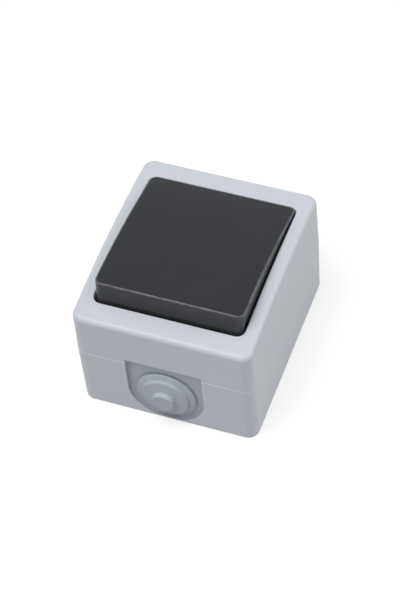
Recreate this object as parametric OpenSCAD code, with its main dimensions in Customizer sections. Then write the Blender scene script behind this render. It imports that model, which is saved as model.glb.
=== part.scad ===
// Surface mounted light switch for damp rooms, lying on its back: +X right, +Y up the wall,
// +Z out of the wall. The origin is the centre of the back face.

/* [Housing] */
// Width of the housing at the wall
body_w = 66; // [64:0.5:74]
// Height of the housing at the wall
body_h = 77; // [74:0.5:86]
// Height of the rear box, up to the parting line
box_z = 28; // [26:0.5:32]
// Height of the cover above the parting line, measured at its upper and lower ends
cover_z = 19; // [18.5:0.5:22]
// Rise of the curved front between its ends and its middle
front_crown = 2.7; // [1.5:0.1:3.5]
// Radius of the four upright corners
corner_r = 4; // [3:0.25:5]
// Radius of the front edge
edge_r = 2; // [1:0.25:2.5]
// Draft of the side walls in degrees
draft = 0.6; // [0.2:0.1:0.9]
// Wall thickness of the rear box
box_wall = 3; // [2.5:0.1:3]
// Wall thickness of the cover
cover_wall = 2.2; // [1.6:0.1:2.3]
// Thickness of the floor of the rear box
floor_t = 2.5; // [2:0.1:3]

/* [Front opening] */
// Width of the frame at each side of the opening
frame_side = 5.05; // [4.8:0.05:6]
// Height of the frame above and below the opening
frame_end = 8.35; // [7.5:0.05:9]
// Radius of its corners
opening_r = 3; // [2:0.25:4]
// Thickness of the well around and under the rocker
well_t = 1.5; // [1.2:0.1:1.7]
// Room between the well floor and the rocker's pressed skirt
well_room = 0.7; // [0.4:0.1:1.2]
// Thickness of the well floor
well_floor_t = 2; // [1.5:0.1:2.5]

/* [Cable entry] */
// Depth of the pocket
pocket_depth = 1.5; // [1:0.1:2]
// Height by which the pocket runs on into the cover
notch_h = 1.7; // [1:0.1:2]
// Gap between the grommet's flange and the side of the pocket
flange_gap = 3; // [2:0.1:4]
// Width of the grommet's outer step
step_w = 2.2; // [2:0.05:3]
// Radius of the grommet's centre knob
knob_r = 4.3; // [3:0.1:5]
// Height of each of the grommet's steps
step_h = 1.7; // [1:0.1:2.5]

/* [Rocker] */
// Gap between the rocker and the opening at each side
side_gap = 0.4; // [0.3:0.05:1]
// Gap between the level rocker and the opening at each end
end_gap = 1.35; // [1.2:0.05:2]
// Height of the rocker's ends above its pivot
rocker_rise = 9.05; // [8.5:0.05:9.5]
// Rise of the rocker's curved face
rocker_crown = 1.8; // [1:0.1:2.5]
// Length of the skirt below the pivot
skirt_drop = 1.5; // [0.5:0.1:1.6]
// Wall thickness of the rocker
rocker_wall = 1.8; // [1.2:0.1:2]
// Height of the pivot above the mounting strap
pivot_rise = 13; // [12.5:0.1:13.2]
// Tilt of the rocker to each side in degrees
rocker_tilt = 6.8; // [5:0.1:7]

/* [Switch insert] */
// Height of the insert along the wall
insert_h = 36; // [35:0.5:38]
// Room above the raised arm of the contact lever
lever_room = 1.5; // [1.2:0.1:2]
// Tilt of the contact lever to each side in degrees
lever_tilt = 10.2; // [8:0.1:11]
// Distance of the moving contacts from the lever's pivot
contact_reach = 8.5; // [8:0.1:9]
// Thickness of the contact lever
lever_t = 0.8; // [0.6:0.1:1]
// Thickness of the brass strips
strip_t = 1; // [0.8:0.1:1.2]
// Radius of the terminal screws
terminal_r = 1.5; // [1.25:0.05:1.75]

/* [Fasteners] */
// Distance of the cover screws from the ends of the rear box
cover_screw_inset = 11.5; // [11:0.1:12]
// Shank radius of the cover and insert screws
screw_r = 1.5; // [1.25:0.05:1.75]
// Head radius of the cover and insert screws
head_r = 2.7; // [2.4:0.1:2.8]
// Distance of the wall slots from the ends of the rear box
slot_inset = 10.5; // [10:0.1:12]
// Width of a wall slot
slot_w = 4.5; // [4:0.1:5]
// End to end length of a wall slot
slot_l = 7; // [6:0.1:7.5]

/* [Hidden] */
$fn = 48;

light_grey = [0.80, 0.82, 0.84];
rubber_grey = [0.62, 0.65, 0.68];
anthracite = [0.24, 0.24, 0.26];
cream = [0.90, 0.88, 0.82];
brass = [0.80, 0.66, 0.36];
steel = [0.70, 0.71, 0.73];
silver = [0.86, 0.86, 0.85];

// Facets round a blended edge, and the thin layer that starts a blend
blend_fn = 24;
skin = 0.02;
// Running, sliding and press clearances
pin_gap = 0.05;
slide_gap = 0.1;
thread_gap = 0.03;
hole_gap = 0.3;
// Depth by which cutters pass a face, and by which joined blocks enter each other
cut = 1;
merge = 0.5;

// Housing
function widened(size, z) = size + 2 * z * tan(draft);
rim_w = widened(body_w, box_z);
rim_h = widened(body_h, box_z);
front_z = box_z + cover_z;
front_w = rim_w - 2 * cover_z * tan(draft);
front_h = rim_h - 2 * cover_z * tan(draft);
front_stations = 8;
inner_r = corner_r / 2;
cavity_w = body_w - 2 * box_wall;
cavity_h = body_h - 2 * box_wall;

// Rim groove for the gasket
groove_w = 1.2;
groove_depth = 1.4;
groove_inset = box_wall / 2;
groove_land = 0.8;

// Heights of the strap and the pivot that it carries
strap_lift = 2;
strap_z = box_z + strap_lift;
pivot_z = strap_z + pivot_rise;

// Opening, rocker and the well under it
opening_w = body_w - 2 * frame_side;
opening_h = body_h - 2 * frame_end;
rocker_w = opening_w - 2 * side_gap;
rocker_h = opening_h - 2 * end_gap;
skirt_side_in = 0.5;
skirt_w = rocker_w - 2 * skirt_side_in;
// The end walls flare out below the lip as far as the skirt's swing leaves room
swing_gap = 0.3;
skirt_h = 2 * sqrt(pow(opening_h / 2 - swing_gap, 2) - pow(skirt_drop, 2));
skirt_reach = skirt_h / 2 * sin(rocker_tilt) + skirt_drop * cos(rocker_tilt);
well_top = pivot_z - skirt_reach - well_room;
well_under = well_top - well_floor_t;
ceiling_t = 2.2;

// Cable entry, half way up the rear box; its round end just breaks out of the back
entry_drop = 0.3;
entry_break = 0.5;
neck_in = 1;
entry_z = box_z / 2 - entry_drop;
pocket_r = entry_z + entry_break;
flange_r = pocket_r - flange_gap;
step_r = flange_r - step_w;
neck_r = step_r - neck_in;
pocket_face = -body_h / 2 + pocket_depth;
pocket_back_t = 2.2;
pocket_back = pocket_face + pocket_back_t;
pocket_seal = (pocket_face + pocket_back) / 2;
pad_side = 3;
pocket_pad_w = 2 * (pocket_r + pad_side);
ledge_t = 2.5;
inner_flange_t = 1.5;
inner_flange_over = 1.5;
inner_flange_r = neck_r + inner_flange_over;
membrane_t = 1.2;
neck_wall = 1.6;
grommet_lip = 0.6;
flange_proud = 0.4;
knockout_r = 9.5;
knockout_groove = 1;
knockout_web = 0.8;

// Posts and screws
post_r = 3.3;
post_drop = 2;
cover_post_z = box_z - post_drop;
head_h = 1.8;
seat_drop = 1;
cover_seat_z = well_under - seat_drop;
cover_screw_l = 20;
counterbore_r = head_r + hole_gap;
counterbore_edge = 0.25;
cover_pitch_x = opening_w - 2 * (counterbore_r + counterbore_edge);
cover_pitch_y = body_h - 2 * cover_screw_inset;
slot_pitch = body_h - 2 * slot_inset;
// The strap's posts stand partly in the side walls
post_sunk = 0.3;
strap_pitch = cavity_w - 2 * (post_r - post_sunk);
thread_depth = 14;
strap_screw_l = 10;

// Insert
lid_t = 3;
insert_side = 6;
insert_top = strap_z - lid_t;
insert_w = strap_pitch - 2 * insert_side;
insert_r = 1.5;
strap_t = 1.2;
strap_rim = 3.4;
ear_w = 10;
cheek_t = 2.5;
cheek_inset = 7.5;
cheek_in = strap_pitch / 2 - cheek_t - cheek_inset;
cheek_r = 3.5;
cheek_foot = 6;
window_r = 2;
window_room = 1.2;
window_w = 2 * (cheek_in + cheek_t + window_room);
window_h = 28;
strap_lip = 0.5;
strap_inner_w = window_w - 2 * strap_lip;
strap_inner_h = window_h - 2 * strap_lip;
seal_w = 2;

// Mechanism inside the insert
tip_gap = 0.2;
contact_gap = 0.15;
lever_w = 6.8;
lever_tail = 2.1;
lever_end = contact_reach + lever_tail;
lever_z = insert_top - lever_end * sin(2 * lever_tilt) - lever_t / 2 - lever_room;
stem_reach = pivot_z - lever_z - lever_t / 2 - tip_gap;
trunnion_r = 0.9;
trunnion_root = 0.8;
trunnion_end = 1.2;
trunnion_in = lever_w / 2 - trunnion_root;
trunnion_out = lever_w / 2 + strip_t + trunnion_end;
rivet_r = 1.8;
rivet_h = 1.2;
rivet_shank_r = 0.9;
fixed_head_h = 0.9;
strip_top = lever_z - lever_t / 2 - rivet_h - contact_gap - fixed_head_h;
strip_z = strip_top - strip_t;
strip_w = 5;
fork_room = 0.9;
fork_x = lever_w / 2 + fork_room;
chamber_side = 0.7;
chamber_end = 2.2;
chamber_w = 2 * (fork_x + strip_t + chamber_side);
chamber_h = 2 * (lever_end + chamber_end);
pit_h = strip_w + 4 * slide_gap;
pit_depth = 3.8;
pit_z = strip_z - pit_depth;
base_t = 3;
insert_back = pit_z - base_t;
terminal_inset = 6.5;
terminal_x = insert_w / 2 - terminal_inset;
pocket_size = 8;
clamp_size = 6.4;
clamp_t = 1;
clamp_edge = 0.8;
wire_gap = 2.6;
clamp_z = strip_top + wire_gap;
terminal_head_r = 2.6;
terminal_head_h = 1.8;
terminal_tip = 3;
terminal_tip_z = strip_z - terminal_tip;
wire_r = 1.3;
access_r = 3;
clip_w = 5;
clip_t = 1.2;
clip_drop = 6;
clip_z = insert_top - clip_drop;
clip_x = 9;
clip_frame = 0.8;
clip_foot = 1;
clip_slot = 2.1;
lug_inset = 1;
lug_t = 1.6;
// The common terminal to the right, the lower and upper ones to the left
terminals = [
    [terminal_x, 0],
    [-terminal_x, -contact_reach],
    [-terminal_x, contact_reach]
];

// Rocker, measured from the pivot
rocker_corner_r = 2.6;
lip_r = 0.5;
roof_t = 1.8;
cradle_room = 0.6;
cradle_w = 2 * (cheek_in - cradle_room);
cradle_h = 24;
cradle_t = 3;
stub_r = 1.5;
sleeve_r = 4.2;
sleeve_bore = 2.5;
stem_stand = 6;
stem_room = 1;
sleeve_end = stem_reach - stem_stand;
bore_top = 3;
plunger_r = sleeve_bore - pin_gap;
plunger_top = 10;
tip_r = 1.5;
rib_t = 1.6;
rib_top = rocker_rise + rocker_crown - roof_t / 2;
rib_y = 9;
hook_inset = 4.4;
hook_x = cradle_w / 2 - hook_inset;
stay_l = 3;
stay_h = 7;
hook_t = 1.5;
hook_w = 5;
hook_nose = 0.8;
hook_taper = 1;
hook_room = 0.3;
rib_inset = 2;
plunger_neck = 1.5;
wire = 0.28;
spring_r = sleeve_bore - wire - 2 * pin_gap;
spring_turns = 6;
spring_steps = 14;
spring_sides = 6;

// Rounded rectangle with true arcs
module rounded(w, h, r) {
    square([w - 2 * r, h], center = true);
    square([w, h - 2 * r], center = true);
    for (sx = [-1, 1], sy = [-1, 1])
        translate([sx * (w / 2 - r), sy * (h / 2 - r)]) circle(r);
}

module rounded_block(w, h, r, z0, z1) {
    translate([0, 0, z0]) linear_extrude(z1 - z0) rounded(w, h, r);
}

// Bar along an axis through two points on it
module bar_x(r, x0, x1) {
    translate([x0, 0, 0]) rotate([0, 90, 0]) cylinder(r = r, h = x1 - x0);
}

module bar_y(r, y0, y1) {
    translate([0, y0, 0]) rotate([-90, 0, 0]) cylinder(r = r, h = y1 - y0);
}

// Height of a shallow arch over y, with its two ends at zero
function arch_radius(span, rise) = (span * span / 4 + rise * rise) / (2 * rise);
function arch(y, span, rise) =
    sqrt(pow(arch_radius(span, rise), 2) - y * y) - arch_radius(span, rise) + rise;

// Convex shell with a curved top, a rounded top edge and drafted sides
module crowned_shell(foot_w, foot_h, foot_z, top_w, top_h, top_z, rise, r, blend, stations) {
    reach_x = top_w / 2 - r;
    reach_y = top_h / 2 - r;
    hull() {
        rounded_block(foot_w, foot_h, r, foot_z, foot_z + skin, $fn = 32);
        for (sx = [-1, 1], i = [0:stations]) {
            y = reach_y * (2 * i / stations - 1);
            translate([sx * (top_w / 2 - blend), y, top_z + arch(y, top_h, rise) - blend])
                sphere(blend, $fn = blend_fn);
        }
        for (sx = [-1, 1], sy = [-1, 1], a = [0:22.5:90]) {
            x = reach_x + (r - blend) * cos(a);
            y = reach_y + (r - blend) * sin(a);
            translate([sx * x, sy * y, top_z + arch(y, top_h, rise) - blend])
                sphere(blend, $fn = blend_fn);
        }
    }
}

// Everything below a curved top, for hollowing a crowned shell
module under_arch(w, h, z0, z_end, rise) {
    r = arch_radius(h, rise);
    intersection() {
        rounded_block(w, h, inner_r, z0, z_end + rise + cut);
        translate([-w / 2 - cut, 0, z_end + rise - r])
            bar_x(r, 0, w + 2 * cut, $fn = 360);
    }
}

// U-shaped outline of the cable pocket, seen along Y
module pocket_outline(r, top) {
    circle(r);
    translate([-r, 0]) square([2 * r, top]);
}

module along_entry(y0, y1) {
    translate([0, y1, entry_z]) rotate([90, 0, 0]) linear_extrude(y1 - y0) children();
}

// Places for the fasteners
module at_cover_screws() {
    for (s = [-1, 1]) translate([s * cover_pitch_x / 2, -s * cover_pitch_y / 2, 0]) children();
}

module at_strap_screws() {
    for (s = [-1, 1]) translate([s * strap_pitch / 2, 0, 0]) children();
}

module at_terminals() {
    for (t = terminals) translate([t[0], t[1], 0]) children();
}

// Pan head screw with its seat at zero and a cross recess
module pan_screw(r, length, cap_r, cap_h) {
    recess = 0.7;
    difference() {
        union() {
            translate([0, 0, -length]) cylinder(r = r, h = length + 0.01);
            rotate_extrude() polygon([
                [0, 0], [cap_r, 0], [cap_r, cap_h * 0.45], [cap_r * 0.72, cap_h], [0, cap_h]
            ]);
        }
        for (a = [0, 90]) rotate([0, 0, a])
            translate([-cap_r * 0.55, -recess / 2, cap_h * 0.45]) cube([cap_r * 1.1, recess, cap_h]);
    }
}

module wall_slots() {
    run = (slot_l - slot_w) / 2;
    for (s = [-1, 1]) translate([0, s * slot_pitch / 2, -cut]) linear_extrude(floor_t + 2 * cut) {
        square([slot_w, 2 * run], center = true);
        for (e = [-1, 1]) translate([0, e * run]) circle(slot_w / 2);
    }
}

// Line of the seal round the rim, stepped inward behind the pocket, grown by d
module seal_outline(d) {
    w = body_w - 2 * groove_inset + 2 * d;
    h = body_h - 2 * groove_inset + 2 * d;
    jog = pocket_r + groove_w + groove_land - d;
    difference() {
        rounded(w, h, inner_r + groove_inset + d);
        translate([-jog, -body_h]) square([2 * jog, body_h + pocket_seal - d]);
    }
}

module seal_ring(half, z0, z1) {
    translate([0, 0, z0]) linear_extrude(z1 - z0) difference() {
        seal_outline(half);
        seal_outline(-half);
    }
}

module rear_box() {
    color(light_grey) difference() {
        union() {
            difference() {
                hull() {
                    rounded_block(body_w, body_h, corner_r, 0, skin, $fn = 32);
                    rounded_block(rim_w, rim_h, corner_r, box_z - skin, box_z, $fn = 32);
                }
                rounded_block(cavity_w, cavity_h, inner_r, floor_t, box_z + cut);
            }
            translate([-pocket_pad_w / 2, -cavity_h / 2 - merge, 0])
                cube([pocket_pad_w, pocket_back + cavity_h / 2 + merge, box_z]);
            at_cover_screws() translate([0, 0, floor_t / 2])
                cylinder(r = post_r, h = cover_post_z - floor_t / 2);
            at_strap_screws() translate([0, 0, floor_t / 2])
                cylinder(r = post_r, h = strap_z - floor_t / 2);
        }
        // Pocket, neck hole and the plain knock-outs above and behind
        along_entry(-rim_h / 2 - cut, pocket_face) pocket_outline(pocket_r, box_z + cut - entry_z);
        translate([0, 0, entry_z]) bar_y(neck_r, pocket_face - cut, pocket_back + cut);
        translate([0, 0, entry_z]) rotate([-90, 0, 0]) knockout(cavity_h / 2, box_wall + cut);
        rotate([180, 0, 0]) translate([0, 0, -floor_t]) knockout(0, floor_t + cut);
        seal_ring(groove_w / 2, box_z - groove_depth, box_z + cut);
        wall_slots();
        at_cover_screws() translate([0, 0, cover_post_z - thread_depth])
            cylinder(r = screw_r + thread_gap, h = thread_depth + cut);
        at_strap_screws() translate([0, 0, strap_z - thread_depth])
            cylinder(r = screw_r + thread_gap, h = thread_depth + cut);
    }
}

// Ring groove that leaves a thin web to be pushed out
module knockout(start, depth) {
    translate([0, 0, start + knockout_web]) difference() {
        cylinder(r = knockout_r, h = depth);
        translate([0, 0, -cut]) cylinder(r = knockout_r - knockout_groove, h = depth + 2 * cut);
    }
}

// Stepped rubber cone: inner flange, neck, outer flange, middle step and closed knob
module cable_grommet() {
    lip = grommet_lip;
    inner_end = pocket_back + slide_gap + inner_flange_t;
    face = -body_h / 2 - flange_proud;
    color(rubber_grey) translate([0, inner_end, entry_z]) rotate([90, 0, 0]) {
        total = inner_end - face + 2 * step_h;
        neck_top = inner_end - pocket_face;
        flange_top = inner_end - face;
        difference() {
            rotate_extrude() polygon([
                [0, 0], [inner_flange_r - lip, 0], [inner_flange_r, lip],
                [inner_flange_r, inner_flange_t], [neck_r - slide_gap, inner_flange_t],
                [neck_r - slide_gap, neck_top], [flange_r, neck_top],
                [flange_r, flange_top - lip], [flange_r - lip, flange_top],
                [step_r, flange_top], [step_r, flange_top + step_h - lip],
                [step_r - lip, flange_top + step_h], [knob_r, flange_top + step_h],
                [knob_r, total - lip], [knob_r - lip, total], [0, total]
            ]);
            // Hollow behind the steps, so that each is a thin membrane
            translate([0, 0, -cut]) cylinder(r = knob_r - membrane_t, h = total - membrane_t + cut);
            translate([0, 0, -cut]) cylinder(r = neck_r - neck_wall, h = flange_top - membrane_t + cut);
        }
    }
}

module box_gasket() {
    color(rubber_grey) seal_ring(groove_w / 2 - slide_gap, box_z - groove_depth, box_z);
}

module cover_frame() {
    color(light_grey) difference() {
        union() {
            difference() {
                crowned_shell(rim_w, rim_h, box_z, front_w, front_h, front_z,
                    front_crown, corner_r, edge_r, front_stations);
                difference() {
                    under_arch(body_w - 2 * cover_wall, body_h - 2 * cover_wall, box_z - cut,
                        front_z - ceiling_t, front_crown);
                    rounded_block(opening_w + 2 * well_t, opening_h + 2 * well_t,
                        opening_r + well_t, well_under, front_z + front_crown);
                }
            }
            // Ledge that presses on the seal behind the pocket and closes the pocket's notch
            translate([-pocket_pad_w / 2, -body_h / 2 + cover_wall - merge, box_z])
                cube([pocket_pad_w, pocket_back + body_h / 2 - cover_wall + merge, ledge_t]);
            at_cover_screws() translate([0, 0, cover_post_z])
                cylinder(r = post_r, h = well_under - cover_post_z + merge);
        }
        along_entry(-rim_h / 2 - cut, pocket_face) translate([-pocket_r, box_z - cut - entry_z])
            square([2 * pocket_r, cut + notch_h]);
        rounded_block(opening_w, opening_h, opening_r, well_top, front_z + front_crown + cut);
        rounded_block(window_w, window_h, window_r, well_under - cut, well_top + cut);
        at_cover_screws() {
            translate([0, 0, cover_seat_z]) cylinder(r = counterbore_r, h = front_z);
            cylinder(r = screw_r + hole_gap, h = front_z);
        }
    }
}

module cover_screws() {
    color(steel) at_cover_screws() translate([0, 0, cover_seat_z])
        pan_screw(screw_r, cover_screw_l, head_r, head_h);
}

// Strip channel from the middle of the insert out to a terminal pocket
module strip_channel(t) {
    side = sign(t[0]);
    x0 = min(side * (chamber_w / 2 - 1), t[0]);
    x1 = max(side * (chamber_w / 2 - 1), t[0]);
    w = strip_w + 2 * slide_gap;
    translate([x0, t[1] - w / 2, strip_z]) cube([x1 - x0, w, insert_top]);
}

module insert_body() {
    color(cream) difference() {
        union() {
            rounded_block(insert_w, insert_h, insert_r, insert_back, insert_top);
            for (sx = [-1, 1], sy = [-1, 1])
                translate([sx * clip_x - clip_w / 2 + lug_inset, sy * insert_h / 2 - lug_t / 2,
                    clip_z + clip_foot + 2 * slide_gap]) cube([clip_w - 2 * lug_inset, lug_t, lug_t]);
        }
        // Chamber of the contact lever, with a pit for the common strip's fork
        translate([-chamber_w / 2, -chamber_h / 2, strip_z])
            cube([chamber_w, chamber_h, insert_top]);
        translate([-chamber_w / 2, -pit_h / 2, pit_z]) cube([chamber_w, pit_h, insert_top]);
        for (t = terminals) {
            strip_channel(t);
            translate([t[0] - pocket_size / 2, t[1] - pocket_size / 2, strip_z])
                cube([pocket_size, pocket_size, insert_top]);
            translate([t[0], t[1], terminal_tip_z - cut])
                cylinder(r = terminal_r + hole_gap, h = insert_top);
            translate([0, t[1], strip_top + wire_gap / 2])
                bar_x(wire_r, min(t[0], sign(t[0]) * insert_w), max(t[0], sign(t[0]) * insert_w));
        }
    }
}

// Upright cheek with a rounded head around the pivot hole, in the YZ plane
module cheek(x0) {
    translate([x0, 0, 0]) rotate([90, 0, 90]) linear_extrude(cheek_t) difference() {
        union() {
            translate([0, pivot_z]) circle(cheek_r);
            polygon([
                [-cheek_foot, strap_z - merge], [cheek_foot, strap_z - merge],
                [cheek_r, pivot_z], [-cheek_r, pivot_z]
            ]);
        }
        translate([0, pivot_z]) circle(stub_r + pin_gap);
    }
}

module insert_cover() {
    stem_w = 2 * (sleeve_r + stem_room);
    stem_h = stem_w + 2 * (sleeve_end + 1) * sin(rocker_tilt);
    color(cream) difference() {
        union() {
            rounded_block(insert_w, insert_h, insert_r, insert_top, strap_z);
            cheek(cheek_in);
            cheek(-cheek_in - cheek_t);
            // Clip arms that snap over the lugs of the body
            for (sx = [-1, 1], sy = [-1, 1]) difference() {
                translate([sx * clip_x - clip_w / 2,
                    sy * (insert_h / 2 + slide_gap + clip_t / 2) - clip_t / 2, clip_z])
                    cube([clip_w, clip_t, strap_z - clip_z]);
                translate([sx * clip_x - clip_w / 2 + clip_frame, sy * insert_h / 2 - 2 * clip_t,
                    clip_z + clip_foot]) cube([clip_w - 2 * clip_frame, 4 * clip_t, clip_slot]);
            }
            for (sy = [-1, 1])
                translate([-clip_x - clip_w / 2, sy * insert_h / 2 - clip_t - slide_gap, insert_top])
                    cube([2 * clip_x + clip_w, 2 * (clip_t + slide_gap), lid_t]);
        }
        translate([0, 0, insert_top - cut]) linear_extrude(strap_z)
            square([stem_w, stem_h], center = true);
        at_terminals() translate([0, 0, insert_top - cut]) cylinder(r = access_r, h = front_z);
    }
}

// Sheet steel strap that carries the insert on two posts
module mounting_strap() {
    color(steel) translate([0, 0, strap_z]) linear_extrude(strap_t) difference() {
        union() {
            rounded(strap_inner_w + 2 * strap_rim, strap_inner_h + 2 * strap_rim, 2);
            rounded(strap_pitch + 2 * head_r, ear_w, 1.5);
        }
        rounded(strap_inner_w, strap_inner_h, 1);
        for (s = [-1, 1]) translate([s * strap_pitch / 2, 0]) circle(screw_r + hole_gap);
    }
}

module strap_screws() {
    color(steel) at_strap_screws() translate([0, 0, strap_z + strap_t])
        pan_screw(screw_r, strap_screw_l, head_r, head_h);
}

// Rubber ring that seals the strap against the underside of the well
module window_gasket() {
    color(rubber_grey) difference() {
        rounded_block(window_w + 2 * seal_w, window_h + 2 * seal_w, window_r + seal_w / 2,
            strap_z + strap_t, well_under);
        rounded_block(window_w + slide_gap, window_h + slide_gap, window_r, strap_z, well_under + cut);
    }
}

// Brass strip with a fork whose two notches carry the lever's trunnions
module common_strip() {
    tall = lever_z + trunnion_r + 0.4 - pit_z;
    color(brass) difference() {
        union() {
            translate([-fork_x - strip_t, -strip_w / 2, pit_z])
                cube([2 * (fork_x + strip_t), strip_w, strip_t]);
            for (x = [-fork_x - strip_t, fork_x]) translate([x, -strip_w / 2, pit_z])
                cube([strip_t, strip_w, tall]);
            translate([fork_x, -strip_w / 2, strip_z])
                cube([terminal_x + clamp_size / 2 - fork_x, strip_w, strip_t]);
        }
        translate([0, 0, lever_z]) bar_x(trunnion_r + pin_gap, -chamber_w, chamber_w);
        translate([-chamber_w, -trunnion_r - pin_gap, lever_z])
            cube([2 * chamber_w, 2 * (trunnion_r + pin_gap), chamber_w]);
        translate([terminal_x, 0, strip_z - cut])
            cylinder(r = terminal_r + thread_gap, h = strip_t + 2 * cut);
    }
}

// Brass strip from a terminal to its fixed contact, with the terminal's hole and the rivet's
module fixed_strip(t) {
    color(brass) difference() {
        translate([t[0] - clamp_size / 2, t[1] - strip_w / 2, strip_z])
            cube([-t[0] + clamp_size / 2 + strip_w / 2, strip_w, strip_t]);
        translate([t[0], t[1], strip_z - cut])
            cylinder(r = terminal_r + thread_gap, h = strip_t + 2 * cut);
        translate([0, t[1], strip_z - cut])
            cylinder(r = rivet_shank_r + thread_gap, h = strip_t + 2 * cut);
    }
}

module lower_strip() {
    fixed_strip(terminals[1]);
}

module upper_strip() {
    fixed_strip(terminals[2]);
}

// Silver rivet: a shallow domed head on a shank
module rivet(head_height, shank) {
    rotate_extrude() polygon([
        [0, -shank], [rivet_shank_r, -shank], [rivet_shank_r, 0], [rivet_r, 0],
        [rivet_r, head_height * 0.6], [rivet_r * 0.7, head_height], [0, head_height]
    ]);
}

module fixed_contacts() {
    color(silver) for (s = [-1, 1]) translate([0, s * contact_reach, strip_top])
        rivet(fixed_head_h, strip_t);
}

// Saddle washers with turned-down edges, one over each wire space
module terminal_clamps() {
    color(steel) at_terminals() translate([0, 0, clamp_z]) difference() {
        translate([-clamp_size / 2, -clamp_size / 2, -clamp_edge])
            cube([clamp_size, clamp_size, clamp_t + clamp_edge]);
        translate([-clamp_size, -clamp_size / 2 + clamp_t, -clamp_edge - cut])
            cube([2 * clamp_size, clamp_size - 2 * clamp_t, clamp_edge + cut]);
        translate([0, 0, -cut]) cylinder(r = terminal_r + slide_gap, h = clamp_t + 2 * cut);
    }
}

module terminal_screws() {
    seat = clamp_z + clamp_t;
    color(steel) at_terminals() translate([0, 0, seat])
        pan_screw(terminal_r, seat - terminal_tip_z, terminal_head_r, terminal_head_h);
}

// The rocker leans with its lower end raised
module rocker_pose() {
    translate([0, 0, pivot_z]) rotate([-rocker_tilt, 0, 0]) children();
}

module rocker_plate() {
    hook_end = cradle_t / 2 + 2 * slide_gap;
    color(anthracite) rocker_pose() {
        difference() {
            crowned_shell(skirt_w, skirt_h, -skirt_drop, rocker_w, rocker_h, rocker_rise,
                rocker_crown, rocker_corner_r, lip_r, front_stations);
            under_arch(skirt_w - 2 * rocker_wall, rocker_h - 2 * rocker_wall, -skirt_drop - cut,
                rocker_rise - roof_t, rocker_crown);
        }
        // Long ribs that rest on the cradle, and the hooks that snap through it
        for (s = [-1, 1])
            translate([-cradle_w / 2 + rib_inset, s * rib_y - rib_t / 2, cradle_t / 2])
                cube([cradle_w - 2 * rib_inset, rib_t, rib_top - cradle_t / 2]);
        for (s = [-1, 1]) {
            translate([s * hook_x - hook_t / 2, -hook_w / 2, -hook_end - hook_taper])
                cube([hook_t, hook_w, rib_top + hook_end + hook_taper]);
            translate([s * hook_x, hook_w / 2, -hook_end]) rotate([90, 0, 0]) linear_extrude(hook_w)
                polygon([
                    [0, 0], [s * (hook_t / 2 + hook_nose), 0],
                    [s * hook_t / 2, -hook_taper], [0, -hook_taper]
                ]);
        }
    }
}

module rocker_cradle() {
    color(cream) rocker_pose() difference() {
        union() {
            rounded_block(cradle_w, cradle_h, 2, -cradle_t / 2, cradle_t / 2);
            bar_x(stub_r, -cheek_in - cheek_t, cheek_in + cheek_t);
            translate([0, 0, -sleeve_end]) cylinder(r = sleeve_r, h = sleeve_end);
            for (a = [0:90:270]) rotate([0, 0, a]) translate([0, -rib_t / 2, -stay_h])
                cube([sleeve_r + stay_l, rib_t, stay_h]);
        }
        translate([0, 0, -sleeve_end - cut]) cylinder(r = sleeve_bore, h = sleeve_end - bore_top + cut);
        for (s = [-1, 1])
            translate([s * (hook_x + slide_gap) - hook_t / 2 - hook_room, -hook_w / 2 - slide_gap, -cradle_t])
                cube([hook_t + 2 * hook_room, hook_w + 2 * slide_gap, 2 * cradle_t]);
    }
}

// Coil spring between the bottom of the bore and the plunger's shoulder
function spring_point(k, j) =
    let (a = 360 * k / spring_steps, b = 360 * j / spring_sides,
         span = plunger_top - bore_top - 2 * wire,
         r = spring_r + wire * cos(b))
    [r * cos(a), r * sin(a),
     -bore_top - wire - span * k / (spring_turns * spring_steps) + wire * sin(b)];

module plunger_spring() {
    rings = spring_turns * spring_steps;
    points = [for (k = [0:rings], j = [0:spring_sides - 1]) spring_point(k, j)];
    sides = [for (k = [0:rings - 1], j = [0:spring_sides - 1])
        let (n = (j + 1) % spring_sides, a = k * spring_sides, b = (k + 1) * spring_sides)
        [a + j, a + n, b + n, b + j]];
    first = [for (j = [spring_sides - 1:-1:0]) j];
    last = [for (j = [0:spring_sides - 1]) rings * spring_sides + j];
    color(steel) rocker_pose() polyhedron(points, concat(sides, [first], [last]), convexity = 8);
}

module plunger() {
    shoulder = [
        [0, -plunger_top], [plunger_r, -plunger_top], [plunger_r, -sleeve_end - plunger_neck],
        [tip_r, -sleeve_end - 2 * plunger_neck]
    ];
    tip = [for (a = [0:15:90]) [tip_r * cos(a), -stem_reach + tip_r * (1 - sin(a))]];
    color(brass) rocker_pose() rotate_extrude() polygon(concat(shoulder, tip));
}

// The lever leans with its lower arm on the lower fixed contact
module lever_pose() {
    translate([0, 0, lever_z]) rotate([lever_tilt, 0, 0]) children();
}

module contact_lever() {
    color(brass) lever_pose() {
        for (s = [-1, 1]) rotate([s * lever_tilt, 0, 0]) difference() {
            translate([-lever_w / 2, min(0, s * lever_end), -lever_t / 2])
                cube([lever_w, lever_end, lever_t]);
            translate([0, s * contact_reach, -lever_t])
                cylinder(r = rivet_shank_r + thread_gap, h = 2 * lever_t);
        }
        for (s = [-1, 1]) bar_x(trunnion_r, min(s * trunnion_in, s * trunnion_out),
            max(s * trunnion_in, s * trunnion_out));
    }
}

module moving_contacts() {
    color(silver) lever_pose() for (s = [-1, 1]) rotate([s * lever_tilt, 0, 0])
        translate([0, s * contact_reach, -lever_t / 2]) mirror([0, 0, 1])
            rivet(rivet_h, lever_t);
}

rear_box();
cable_grommet();
box_gasket();
cover_frame();
cover_screws();
insert_body();
insert_cover();
mounting_strap();
strap_screws();
window_gasket();
common_strip();
lower_strip();
upper_strip();
fixed_contacts();
terminal_clamps();
terminal_screws();
rocker_plate();
rocker_cradle();
plunger_spring();
plunger();
contact_lever();
moving_contacts();
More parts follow.
